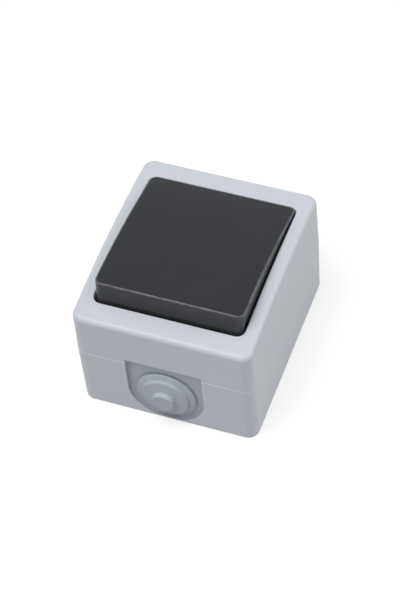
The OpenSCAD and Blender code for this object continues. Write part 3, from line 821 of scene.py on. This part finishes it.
def mark_faces(made: bpy.types.Object, plain: Finish, other: Finish,
               chosen: Callable[[Array, Array], Array]) -> None:
    """Gives some faces of a piece a finish of their own.

    Args:
        made: The piece.
        plain: Finish of the rest.
        other: Finish of the chosen faces.
        chosen: Says which faces it is, from their centres in millimetres and their normals.
    """
    mesh = made.data
    mesh.materials.clear()
    mesh.materials.append(plain.material())
    mesh.materials.append(other.material())
    centre, normal = (np.empty(3 * len(mesh.polygons), np.float32) for _ in range(2))
    mesh.polygons.foreach_get("center", centre)
    mesh.polygons.foreach_get("normal", normal)
    inside = chosen(centre.reshape(-1, 3) / MM, normal.reshape(-1, 3))
    mesh.polygons.foreach_set("material_index", inside.astype(np.int32))


@dataclass
class Housing:
    """Rear box and curved cover, joined at the parting line."""

    width: float = 66.0
    height: float = 77.0
    split: float = 28.0
    rise: float = 19.0
    crown: float = 2.7
    corner: float = 4.0
    blend: float = 2.0
    draft: float = 0.6
    break_: float = 0.3
    rim_break: float = 0.2
    foot_in: float = 0.1
    box_wall: float = 3.0
    cover_wall: float = 2.2
    floor: float = 2.5
    frame_side: float = 5.05
    frame_end: float = 8.35
    opening_r: float = 3.0
    lip: float = 0.45
    well_wall: float = 1.5
    well_top: float = 37.28
    well_floor: float = 2.0
    ceiling: float = 2.2
    window: tuple[float, float, float] = (41.4, 28.0, 2.0)
    entry_z: float = 13.7
    pocket_r: float = 14.2
    pocket_depth: float = 1.5
    pocket_back: float = 2.2
    pocket_edge: float = 0.35
    notch: float = 1.7
    neck_r: float = 8.0
    post_r: float = 3.3
    cover_screws: tuple[float, float] = (24.7, -27.0)
    strap_screw: float = 27.0
    screw_r: float = 1.5
    head_r: float = 2.7
    slot_pitch: float = 56.0
    slot: tuple[float, float] = (4.5, 7.0)
    knockout: tuple[float, float, float] = (9.5, 8.5, 0.8)
    groove: tuple[float, float, float] = (1.2, 1.4, 0.8)

    def widened(self, size: float, level: float) -> float:
        """Size of the drafted wall at a level."""
        return size + 2 * level * math.tan(math.radians(self.draft))

    @property
    def rim(self) -> tuple[float, float]:
        """Width and height at the parting line, the widest place."""
        return self.widened(self.width, self.split), self.widened(self.height, self.split)

    def build(self) -> None:
        """Makes and finishes both shells."""
        box = self.rear_box()
        cover = self.cover()
        for made in (box, cover):
            mark_faces(made, HOUSING_GREY, POCKET_GREY, self.in_pocket)
        settle(box, Body.HOUSING, HOUSING_GREY, "rear_box")
        settle(cover, Body.HOUSING, HOUSING_GREY, "cover_frame")
        refinish("box_gasket", SEAL_RUBBER)
        refinish("window_gasket", SEAL_RUBBER)

    def rear_box(self) -> bpy.types.Object:
        """Open box with the pocket, screw posts, wall slots, knock-outs and seal groove."""
        (w, h), (rw, rh), b = (self.width, self.height), self.rim, self.break_
        cw, ch, cr = w - 2 * self.box_wall, h - 2 * self.box_wall, self.corner / 2
        foot = edge_rings(self.widened(w, b), self.widened(h, b), self.corner, b, b,
                          np.linspace(-90, 0, 5))
        foot[:, :, 2] += b
        top = edge_rings(rw, rh, self.corner, self.split, self.rim_break, np.linspace(0, 90, 7))
        floor = edge_rings(cw, ch, cr, self.floor + 0.8, -0.8, np.linspace(0, -90, 5))
        floor[:, :, :2] = self.inset_rings(cw, ch, cr, 0.8, 5)
        made = mesh_object("rear_shell", loft([
            ring(w - 2, h - 2, self.corner - 1, 0), foot, between(foot[-1], top[0], 9), top,
            ring(cw + 0.6, ch + 0.6, cr + 0.3, self.split), ring(cw, ch, cr, self.split), floor,
        ]))
        pad = self.pocket_r + 3
        inner = -h / 2 + self.pocket_depth + self.pocket_back
        posts = [rod(self.post_r, self.floor / 2, self.split - 2).moved(s * x, s * y)
                 for s in (-1, 1) for x, y in [self.cover_screws]]
        posts += [rod(self.post_r, self.floor / 2, self.split + 2).moved(s * self.strap_screw)
                  for s in (-1, 1)]
        combine(made, Join.ADD, block(-pad, pad, -ch / 2 - 0.5, inner, 0, self.split), *posts)
        combine(made, Join.CUT, self.pocket_tool(), self.neck_tool(), self.seal_tool(),
                *self.wall_tools(), *self.screw_tools())
        smooth_piece(made)
        return made

    @staticmethod
    def inset_rings(width: float, height: float, radius: float, size: float,
                    count: int) -> Array:
        """Plan of the rings of a rounded floor edge: the wall's outline moved in by b (1 - cos t)."""
        flat, normal = outline(width, height, radius)
        t = np.linspace(0, math.pi / 2, count)[:, None, None]
        return flat[None] - size * (1 - np.cos(t)) * normal[None]

    def pocket_line(self, grow: float) -> Array:
        """U-shaped outline of the pocket in (x, z), grown outwards, counter-clockwise from +Y.

        The half circle and the straight sides end in a level top with small round corners, and
        a thin edge is left of the box below them.
        """
        r, top = self.pocket_r + grow, self.split + self.notch + grow
        angle = np.linspace(math.pi, 2 * math.pi, 65)
        arc = np.column_stack([r * np.cos(angle), self.entry_z + r * np.sin(angle)])
        size = 0.7 + grow
        rise = self.entry_z + np.linspace(0, 1, 13)[1:] * (top - size - self.entry_z)
        turn = np.linspace(0, math.pi / 2, 7)[1:]
        right = np.vstack([
            np.column_stack([np.full(12, r), rise]),
            np.column_stack([r - size + size * np.cos(turn), top - size + size * np.sin(turn)]),
        ])
        across = np.linspace(r - size, size - r, 25)[1:-1]
        over = np.column_stack([across, np.full(23, top)])
        left = right[::-1] * [-1, 1]
        line = np.vstack([arc, right, over, left])[::-1]
        return np.column_stack([line[:, 0], np.maximum(line[:, 1], self.pocket_edge)])

    def pocket_tool(self) -> Solid:
        """Cutter of the pocket: its outline carried along Y, flared at the mouth and the floor.

        A ring lies at y = wall(z) + depth, where wall(z) is the drafted face, widest at the
        parting line, and grows by b (1 - sin t) as the depth goes b (1 - cos t), which rounds
        the mouth by b.
        """
        b, lean = 0.3, math.tan(math.radians(self.draft))
        rings = []
        for t in np.radians([12, 30, 50, 70, 90]):
            line = self.pocket_line(b * (1 - math.sin(t)))
            wall = -self.height / 2 - lean * (self.split - np.abs(line[:, 1] - self.split))
            rings.append(np.column_stack([line[:, 0], wall + b * (1 - math.cos(t)), line[:, 1]]))
        mouth = rings[0].copy()
        mouth[:, 1] -= 4
        face, f = -self.height / 2 + self.pocket_depth, 0.3
        for t in np.radians([0, 30, 60, 90]):
            line = self.pocket_line(-f * (1 - math.cos(t)))
            level = np.full(len(line), face - f * (1 - math.sin(t)))
            rings.append(np.column_stack([line[:, 0], level, line[:, 1]]))
        return loft([mouth, *rings])

    def neck_tool(self) -> Solid:
        """Cutter of the round hole for the grommet's neck."""
        face = self.height / 2 - self.pocket_depth
        return rod(self.neck_r, face - self.pocket_back - 1, face + 1, 72).turned(90, "X").moved(
            z=self.entry_z)

    def seal_tool(self) -> Solid:
        """Cutter of the seal's groove: a band round the rim that steps in behind the pocket."""
        wide, deep, land = self.groove
        z0, z1 = self.split - deep, self.split + 1
        bands = [self.seal_line(s * wide / 2, land) for s in (1, -1)]
        outer, inner = bands
        rings = [np.column_stack([line, np.full(len(line), z)])
                 for line, z in ((inner, z0), (outer, z0), (outer, z1), (inner, z1))]
        return loft(rings, closed=True)

    def seal_line(self, grow: float, land: float) -> Array:
        """Middle line of the seal, grown outwards, with its step behind the pocket."""
        inset = self.box_wall / 2
        w, h = self.width - 2 * inset + 2 * grow, self.height - 2 * inset + 2 * grow
        flat, _ = outline(w, h, self.corner / 2 + inset + grow)
        jog = self.pocket_r + self.groove[0] + land - grow
        behind = -self.height / 2 + self.pocket_depth + self.pocket_back / 2 - grow * -1
        low = flat[:, 1] < -h / 2 + 1e-6
        keep = flat[~low]
        step = np.array([[-jog, -h / 2], [-jog, behind], [jog, behind], [jog, -h / 2]])
        turn = int(np.argmax((keep[:, 0] > 0) & (keep[:, 1] < 0) & (np.arange(len(keep)) > len(keep) / 2)))
        return np.vstack([keep[:turn], step, keep[turn:]])

    def wall_tools(self) -> list[Solid]:
        """Cutters of the two wall slots and the ring grooves of the two knock-outs."""
        wide, long = self.slot
        flat, _ = outline(wide, long, wide / 2 - 1e-3, corner=16, side=2)
        tools = [prism(flat + [0, s * self.slot_pitch / 2], -1, self.floor + 1) for s in (-1, 1)]
        outer, inner, web = self.knockout
        for depth, place in ((self.floor, "back"), (self.box_wall, "top")):
            flat_ring = [rod(outer, 0, depth + 1, 72).points[:72, :2], rod(inner, 0, 1, 72).points[:72, :2]]
            rings = [np.column_stack([line, np.full(72, z)]) for line, z in (
                (flat_ring[1], web), (flat_ring[0], web), (flat_ring[0], depth + 1),
                (flat_ring[1], depth + 1))]
            tool = loft(rings, closed=True)
            if place == "back":
                tools.append(tool.turned(180, "X").moved(z=self.floor))
            else:
                tools.append(tool.turned(-90, "X").moved(
                    y=self.height / 2 - self.box_wall, z=self.entry_z))
        return tools

    def screw_tools(self) -> list[Solid]:
        """Cutters of the four screw bores."""
        x, y = self.cover_screws
        bores = [rod(self.screw_r + 0.03, self.split - 16, self.split + 1).moved(s * x, s * y)
                 for s in (-1, 1)]
        bores += [rod(self.screw_r + 0.03, self.split - 12, self.split + 3).moved(
            s * self.strap_screw) for s in (-1, 1)]
        return bores

    def in_pocket(self, centre: Array, normal: Array) -> Array:
        """True for the faces of the pocket's floor and of the walls round it."""
        x, y, z = centre.T
        face, lean = -self.height / 2 + self.pocket_depth, math.tan(math.radians(self.draft))
        wall = -self.height / 2 - lean * (self.split - np.abs(z - self.split))
        near = (np.abs(x) < self.pocket_r + 0.3) & (z < self.split + self.notch + 0.3)
        inward = (normal[:, 2] > -0.5) & (z < self.split - 0.2) | (z > self.split + 0.2)
        return near & inward & (y > wall + 0.2) & (y < face + 0.02)

    def cover(self) -> bpy.types.Object:
        """Cover as one closed band: out round the front, in over the well and back beneath.

        The band's rings run from the inner rim out round the wall, over the curved front,
        down the opening's lip into the well, through its window and back under the ceiling.
        """
        rw, rh = self.rim
        fw, fh = (s - 2 * self.rise * math.tan(math.radians(self.draft)) for s in (rw, rh))
        front, b = self.split + self.rise, 0.08
        arch = Arch(fh, self.crown)
        iw, ih = self.width - 2 * self.cover_wall, self.height - 2 * self.cover_wall
        under = Arch(ih, self.crown)
        ow, oh = self.width - 2 * self.frame_side, self.height - 2 * self.frame_end
        fx, fy = rw - 2 * self.foot_in, rh - 2 * self.foot_in
        foot = edge_rings(fx, fy, self.corner - self.foot_in, self.split + b, b,
                          np.linspace(-90, 0, 3))
        foot[:, :, 2] += b
        edge = edge_rings(fw, fh, self.corner, front, self.blend, np.linspace(0, 90, 10), arch)
        lip = self.lip_rings(ow, oh, front, arch)
        well_under = self.well_top - self.well_floor
        ww, wh, wr = self.window
        made = mesh_object("cover_shell", loft([
            ring(iw, ih, self.corner / 2, self.split),
            ring(rw - 1.6, rh - 1.6, self.corner - 0.8, self.split),
            foot, between(foot[-1], edge[0], 8), edge,
            between(edge[-1], lip[0], 5, lambda rings: self.onto(rings, front, arch)), lip,
            ring(ow, oh, self.opening_r, self.well_top + 0.5),
            ring(ow - 1, oh - 1, self.opening_r - 0.5, self.well_top),
            ring(ww, wh, wr, self.well_top), ring(ww, wh, wr, well_under),
            ring(ow + 2 * self.well_wall, oh + 2 * self.well_wall,
                 self.opening_r + self.well_wall, well_under),
            ring(ow + 2 * self.well_wall, oh + 2 * self.well_wall,
                 self.opening_r + self.well_wall, front - self.ceiling, under),
            ring(iw, ih, self.corner / 2, front - self.ceiling, under),
        ], closed=True))
        x, y = self.cover_screws
        pad, inner = self.pocket_r + 3, -self.height / 2 + self.pocket_depth + self.pocket_back
        posts = [rod(self.post_r, self.split - 2, well_under + 0.5).moved(s * x, s * y)
                 for s in (-1, 1)]
        ledge = block(-pad, pad, -self.height / 2 + self.cover_wall - 0.5, inner,
                      self.split, self.split + 2.5)
        combine(made, Join.ADD, ledge, *posts)
        sinks = [rod(self.head_r + 0.3, well_under - 1, front).moved(s * x, s * y) for s in (-1, 1)]
        bores = [rod(self.screw_r + 0.3, 0, front).moved(s * x, s * y) for s in (-1, 1)]
        combine(made, Join.CUT, self.pocket_tool(), *sinks, *bores)
        smooth_piece(made)
        return made

    @staticmethod
    def onto(rings: Array, front: float, arch: Arch) -> Array:
        """Rings dropped onto the curved front: z = front + arch(y)."""
        rings[:, :, 2] = front + arch(rings[:, :, 1])
        return rings

    def lip_rings(self, width: float, height: float, front: float, arch: Arch) -> Array:
        """Rings of the opening's rounded lip: out by b (1 - sin t), down by b (1 - cos t)."""
        b = self.lip
        flat, normal = outline(width, height, self.opening_r)
        t = np.linspace(0, math.pi / 2, 7)[:, None, None]
        plan = flat[None] + b * (1 - np.sin(t)) * normal[None]
        level = front + arch(plan[:, :, 1])[:, :, None] - b * (1 - np.cos(t))
        return np.concatenate([plan, level], axis=2)


@dataclass
class CableEntry:
    """Stepped rubber cone in the pocket of the rear box."""

    height: float = 77.0
    entry_z: float = 13.7
    pocket_depth: float = 1.5
    pocket_back: float = 2.2
    neck_r: float = 8.0
    flange_r: float = 11.2
    step_r: float = 9.0
    knob_r: float = 4.3
    step: float = 1.7
    proud: float = 0.4
    inner_t: float = 1.5
    lip: float = 0.55
    slope: float = 0.75
    bevel: tuple[float, float] = (0.8, 0.5)
    dish: float = 0.3

    def build(self) -> None:
        """Makes the grommet as one turned profile and finishes it."""
        face = -self.height / 2 + self.pocket_depth
        end = face + self.pocket_back + 0.1 + self.inner_t
        flange = end + self.height / 2 + self.proud
        seat = end - face
        total = flange + 2 * self.step
        roof, thin, lip = total - 1.2, flange - 1.2, self.lip
        neck, inner_r = self.neck_r - 0.1, self.neck_r + 1.5
        under, rise = self.bevel
        profile = softened([
            (0, roof, 0), (self.knob_r - 1.2, roof, 0.3), (self.knob_r - 1.2, thin, 0.2),
            (self.neck_r - 1.6, thin, 0.3), (self.neck_r - 1.6, 0, 0.3),
            (inner_r, 0, 0.5), (inner_r, self.inner_t, 0.2), (neck, self.inner_t, 0),
            (neck, seat, 0), (self.flange_r - under, seat, 0.1),
            (self.flange_r, seat + rise, 0.15),
            (self.flange_r, flange - self.slope, lip), (self.step_r, flange, 0.25),
            (self.step_r, flange + self.step - self.slope, lip),
            (self.knob_r, flange + self.step, 0.25), (self.knob_r, total, 0.6),
            (self.knob_r - 1.2, total, 0.8), (0, total - self.dish, 0),
        ])
        made = mesh_object("entry_cone", revolved(profile, 120).turned(90, "X").moved(
            y=end, z=self.entry_z))
        smooth_piece(made)
        settle(made, Body.HOUSING, ENTRY_RUBBER, "cable_grommet")


@dataclass
class Rocker:
    """Curved rocker with its ribs and hooks, on its cradle with plunger and spring."""

    width: float = 55.1
    height: float = 57.6
    skirt: tuple[float, float] = (54.1, 59.62)
    rise: float = 9.05
    crown: float = 1.8
    drop: float = 1.5
    wall: float = 1.8
    roof: float = 1.8
    corner: float = 2.6
    lip: float = 0.55
    pivot: float = 43.0
    tilt: float = 6.8
    cradle_w: float = 32.8
    cradle_t: float = 3.0
    rib_y: float = 9.0
    rib_t: float = 1.6
    hook_x: float = 12.0
    hook: tuple[float, float, float] = (1.5, 5.0, 0.8)
    wire: float = 0.28
    coil_r: float = 2.12
    coil: tuple[float, float] = (3.0, 10.0)
    turns: float = 6.0

    def posed(self, solid: Solid) -> Solid:
        """A solid given from the pivot, leaning with its lower end raised."""
        return solid.turned(-self.tilt, "X").moved(z=self.pivot)

    def build(self) -> None:
        """Makes the rocker's cap and the spring, and finishes the pieces behind them."""
        made = mesh_object("rocker_cap", self.posed(self.cap()))
        combine(made, Join.ADD, *[self.posed(part) for part in self.ribs()])
        smooth_piece(made)
        # Faces that do not face up take the lighter copy: the rocker's walls are painted lighter.
        mark_faces(made, ROCKER_BLACK, ROCKER_SIDE_PAINTED_LIGHT, lambda centre, normal: normal[:, 2] < 0.4)
        settle(made, Body.ROCKER, ROCKER_BLACK, "rocker_plate")
        spring = mesh_object("plunger_coil", self.posed(self.spring()))
        smooth_piece(spring, sharp=50)
        settle(spring, Body.ROCKER, SPRING_WIRE, "plunger_spring")
        refinish("rocker_cradle", INSERT_CREAM)
        refinish("plunger", STRIP_BRASS)

    def cap(self) -> Solid:
        """Hollow cap: rings up the skirt, over the lip to the middle and back inside."""
        sw, sh = self.skirt
        iw, ih = sw - 2 * self.wall, self.height - 2 * self.wall
        arch, under = Arch(self.height, self.crown), Arch(ih, self.crown)
        top = edge_rings(self.width, self.height, self.corner, self.rise, self.lip,
                         np.linspace(0, 90, 9), arch)
        foot = edge_rings(sw, sh, self.corner, -self.drop + 0.25, 0.25, np.linspace(-90, 0, 4))
        foot[:, :, 2] += 0.25
        inner_r = 2.0
        # The ring just inside the lip keeps the painted lip highlight narrow.
        shrink = np.append(0.988, np.linspace(1, 0.02, 14)[1:])[:, None, None] * [1, 1, 0]
        crown = top[-1][None] * shrink
        crown[:, :, 2] = self.rise + arch(crown[:, :, 1])
        ceiling = ring(iw, ih, inner_r, self.rise - self.roof, under)
        vault = ceiling[None] * shrink
        vault[:, :, 2] = self.rise - self.roof + under(vault[:, :, 1])
        first = ring(iw, ih, inner_r, -self.drop)
        return loft([vault[::-1], ceiling, between(ceiling, first, 3), first,
                     ring(iw + 0.8, ih + 0.8, inner_r + 0.4, -self.drop), foot,
                     between(foot[-1], top[0], 4), top, crown])

    def ribs(self) -> list[Solid]:
        """Long ribs on the cradle, and the hooks that snap through it."""
        top = self.rise + self.crown - self.roof / 2
        reach, low = self.cradle_w / 2 - 2, self.cradle_t / 2
        parts = [block(-reach, reach, s * self.rib_y - self.rib_t / 2,
                       s * self.rib_y + self.rib_t / 2, low, top) for s in (-1, 1)]
        thick, wide, nose = self.hook
        end = -low - 0.2
        for s in (-1, 1):
            x = s * self.hook_x
            line = np.array([[x - thick / 2, top], [x - thick / 2, end - 1], [x + thick / 2, end - 1],
                             [x + thick / 2 + nose, end], [x + thick / 2, end], [x + thick / 2, top]])
            if s < 0:
                line = np.column_stack([2 * x - line[::-1, 0], line[::-1, 1]])
            parts.append(loft([np.column_stack([line[:, 0], np.full(6, y), line[:, 1]])
                               for y in (wide / 2, -wide / 2)]))
        return parts

    def spring(self) -> Solid:
        """Coil spring: a circle of radius w carried along R (cos a, sin a), z falling with a.

        A point is (R + w cos b) along the spoke at a, and w sin b up, from the line of the coil.
        """
        a = np.linspace(0, 2 * math.pi * self.turns, int(self.turns * 28) + 1)[:, None]
        b = np.linspace(0, 2 * math.pi, 12, endpoint=False)[None]
        start, end = self.coil
        line = -start - self.wire - (end - start - 2 * self.wire) * a / a[-1]
        r = self.coil_r + self.wire * np.cos(b)
        grid = np.stack([r * np.cos(a), r * np.sin(a), line + self.wire * np.sin(b)], axis=2)
        return loft([grid[:, ::-1]])


@dataclass
class Screws:
    """Pan head screws with rounded heads, cross recesses and cut threads."""

    pitch: float = 0.5
    thread: float = 0.18
    groups: dict[str, tuple[float, float, float, float, list[tuple[float, float]], float]] = field(
        default_factory=lambda: {
            "cover_screws": (1.5, 20.0, 2.7, 34.28, [(24.7, -27.0), (-24.7, 27.0)], 1.8),
            "strap_screws": (1.5, 10.0, 2.7, 31.2, [(27.0, 0.0), (-27.0, 0.0)], 1.8),
            "terminal_screws": (1.5, 0.0, 2.6, 0.0, [], 1.8),
        })

    def build(self) -> None:
        """Makes each group of screws in one piece, and finishes the strap and the clamps."""
        self.fit_terminals()
        for name, (radius, length, head_r, seat, places, head_h) in self.groups.items():
            screw = self.screw(radius, length, head_r, head_h)
            parts = [screw.moved(x, y, seat) for x, y in places]
            solid = parts[0]
            for part in parts[1:]:
                solid = solid.beside(part)
            made = mesh_object(name.replace("_screws", "_screw_set"), solid)
            for x, y in places:
                combine(made, Join.CUT, *[c.moved(x, y, seat) for c in self.recess(head_r, head_h)])
            smooth_piece(made, sharp=40)
            settle(made, Body.HOUSING, SCREW_ZINC, name)
        refinish("mounting_strap", STRAP_ZINC)
        refinish("terminal_clamps", STRAP_ZINC)

    def fit_terminals(self) -> None:
        """Takes the terminal screws' heights from the frame, whose tips and heads it has."""
        low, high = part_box("terminal_screws")
        head_h = 1.8
        seat = high.z / MM - head_h
        reach = seat - low.z / MM
        x = high.x / MM - 2.6
        y = high.y / MM - 2.6
        self.groups["terminal_screws"] = (
            1.5, reach, 2.6, seat, [(x, 0.0), (-x, -y), (-x, y)], head_h)

    def screw(self, radius: float, length: float, head_r: float, head_h: float) -> Solid:
        """Screw whose shank radius is r - d saw(z / pitch - a / 2 pi), under a domed head.

        Args:
            radius: Shank radius r over the thread's crests.
            length: Length below the head.
            head_r: Radius of the head.
            head_h: Height of the head.

        Returns:
            The screw with its seat at zero.
        """
        steps = 40
        a = np.linspace(0, 2 * math.pi, steps, endpoint=False)[None]
        z = np.linspace(-length + 0.6, -0.8, max(int(length / self.pitch * 6), 24))[:, None]
        wave = np.abs(((z / self.pitch - a / (2 * math.pi)) % 1.0) * 2 - 1)
        fade = np.clip((-0.8 - z) / 0.6, 0, 1) * np.clip((z + length - 0.6) / 0.4, 0, 1)
        r = radius - self.thread * wave * fade
        shank = np.stack([r * np.cos(a), r * np.sin(a), z + 0 * a], axis=2)
        profile = softened([
            (radius, -0.4, 0), (radius, 0, 0), (head_r, 0, 0.1), (head_r, head_h * 0.5, 0.5),
            (head_r * 0.7, head_h, 0.9), (0.25, head_h, 0),
        ], steps=4)
        angle = a[0]
        head = np.stack([profile[:, 0, None] * np.cos(angle), profile[:, 0, None] * np.sin(angle),
                         np.repeat(profile[:, 1, None], steps, axis=1)], axis=2)
        tip = np.column_stack([(radius - 0.5) * np.cos(angle), (radius - 0.5) * np.sin(angle),
                               np.full(steps, -length)])
        return loft([tip, shank, head])

    @staticmethod
    def recess(head_r: float, head_h: float) -> list[Solid]:
        """Two tapered blades that cut the cross in a head."""
        reach, thick, low = head_r * 0.55, 0.35, head_h * 0.45
        rings = []
        for z, share in ((low, 0.55), (head_h + 0.5, 1.1)):
            x, y = reach * share, thick * (0.8 + 0.2 * share)
            rings.append(np.array([[x, -y, z], [x, y, z], [-x, y, z], [-x, -y, z]]))
        blade = loft(rings)
        return [blade, blade.turned(90, "Z")]


@dataclass
class Mechanism:
    """Insert with its strips, contacts and the tilting lever, in their CAD shapes."""

    finishes: dict[str, Finish] = field(default_factory=lambda: {
        "insert_body": INSERT_CREAM,
        "insert_cover": INSERT_CREAM,
        "common_strip": STRIP_BRASS,
        "lower_strip": STRIP_BRASS,
        "upper_strip": STRIP_BRASS,
        "fixed_contacts": POINT_SILVER,
        "contact_lever": STRIP_BRASS,
        "moving_contacts": POINT_SILVER,
    })

    def build(self) -> None:
        """Gives each kept node its finish."""
        for node, finish in self.finishes.items():
            refinish(node, finish)


@dataclass
class Studio:
    """Pale floor, soft overhead light, white surroundings and the photograph's camera."""

    eye: tuple[float, float, float] = (211.5, -459.17, 665.51)
    right: tuple[float, float, float] = (0.9389, 0.3373, -0.06848)
    down: tuple[float, float, float] = (0.22689, -0.75617, -0.61378)
    ahead: tuple[float, float, float] = (-0.25881, 0.56074, -0.7865)
    lens: float = 135.96
    lights: dict[str, tuple[tuple[float, float, float], float, float]] = field(
        default_factory=lambda: {
            "softbox": ((-0.18, -0.24, 0.94), 40.0, 1.8),
            "side_fill": ((0.85, 0.35, 0.4), 40.0, 0.6),
        })
    sky: float = 0.4

    def build(self) -> None:
        """Sets up the whole studio."""
        scene = bpy.context.scene
        scene.view_settings.view_transform = "Standard"
        self.floor()
        self.surroundings(scene)
        for name, (toward, spread, strength) in self.lights.items():
            self.lamp(scene, name, toward, spread, strength)
        self.camera(scene)

    def floor(self) -> None:
        """Flat square under the switch, with a fine grid so that it is no single face."""
        line = np.linspace(-3000, 3000, 9)
        x, y = np.meshgrid(line, line)
        points = np.column_stack([x.ravel(), y.ravel(), np.full(81, -0.15)])
        corner = (np.arange(8)[:, None] * 9 + np.arange(8)[None]).ravel()
        faces = np.column_stack([corner, corner + 1, corner + 10, corner + 9]).tolist()
        made = mesh_object("studio_floor", Solid(points, faces))
        made.data.materials.append(
            PaleFloor("pale_floor", Slot.HOUSING, (0.7, 0.7, 0.7), 0.9).material())

    def surroundings(self, scene: bpy.types.Scene) -> None:
        """White surroundings for the camera and for gloss, and a dimmer sky that lights."""
        world = bpy.data.worlds.new("studio")
        world.use_nodes = True
        scene.world = world
        wires = Wires(world.node_tree)
        back = world.node_tree.nodes["Background"]
        back.inputs["Color"].default_value = (1, 1, 1, 1)
        wires.set(back.inputs["Strength"],
                  wires.spread(seen_ray(wires), self.sky, 1.0, 0.0, 1.0))

    def lamp(self, scene: bpy.types.Scene, name: str, toward: tuple[float, float, float],
             spread: float, strength: float) -> None:
        """Wide soft light, as a large softbox gives.

        Args:
            scene: Scene that it lights.
            name: Its name.
            toward: Direction from the switch to the light.
            spread: Angle in degrees that it fills, seen from the switch.
            strength: Its strength.
        """
        lamp = bpy.data.lights.new(name, "SUN")
        lamp.energy = strength
        lamp.angle = math.radians(spread)
        made = bpy.data.objects.new(name, lamp)
        scene.collection.objects.link(made)
        z = np.array(toward) / np.linalg.norm(toward)
        x = np.cross([0.0, 1.0, 0.0], z)
        x /= np.linalg.norm(x)
        made.matrix_world = self.place(x, np.cross(z, x), z, 2000 * z)

    def camera(self, scene: bpy.types.Scene) -> None:
        """Camera of the photograph: its axes are the image's right, up and back directions."""
        lens = bpy.data.cameras.new("photo_view")
        lens.sensor_fit = "VERTICAL"
        lens.sensor_height = 36.0
        lens.lens = self.lens
        lens.clip_start = 0.01
        made = bpy.data.objects.new("photo_view", lens)
        scene.collection.objects.link(made)
        z = -np.array(self.ahead)
        z /= np.linalg.norm(z)
        x = np.array(self.right) - z * (np.array(self.right) @ z)
        x /= np.linalg.norm(x)
        made.matrix_world = self.place(x, np.cross(z, x), z, np.array(self.eye))
        scene.camera = made

    @staticmethod
    def place(x: Array, y: Array, z: Array, at: Array) -> Matrix:
        """Matrix of an object from its three axes and its place in millimetres."""
        matrix = np.eye(4)
        matrix[:3, 0], matrix[:3, 1], matrix[:3, 2], matrix[:3, 3] = x, y, z, at * MM
        return Matrix(matrix.tolist())


def main() -> None:
    """Builds the studio and each sub-assembly in order."""
    logging.basicConfig(level=logging.INFO, format="%(name)s: %(message)s")
    for part in (Studio(), Housing(), CableEntry(), Rocker(), Screws(), Mechanism()):
        LOG.info("building %s", type(part).__name__)
        part.build()


if __name__ == "__main__":
    main()
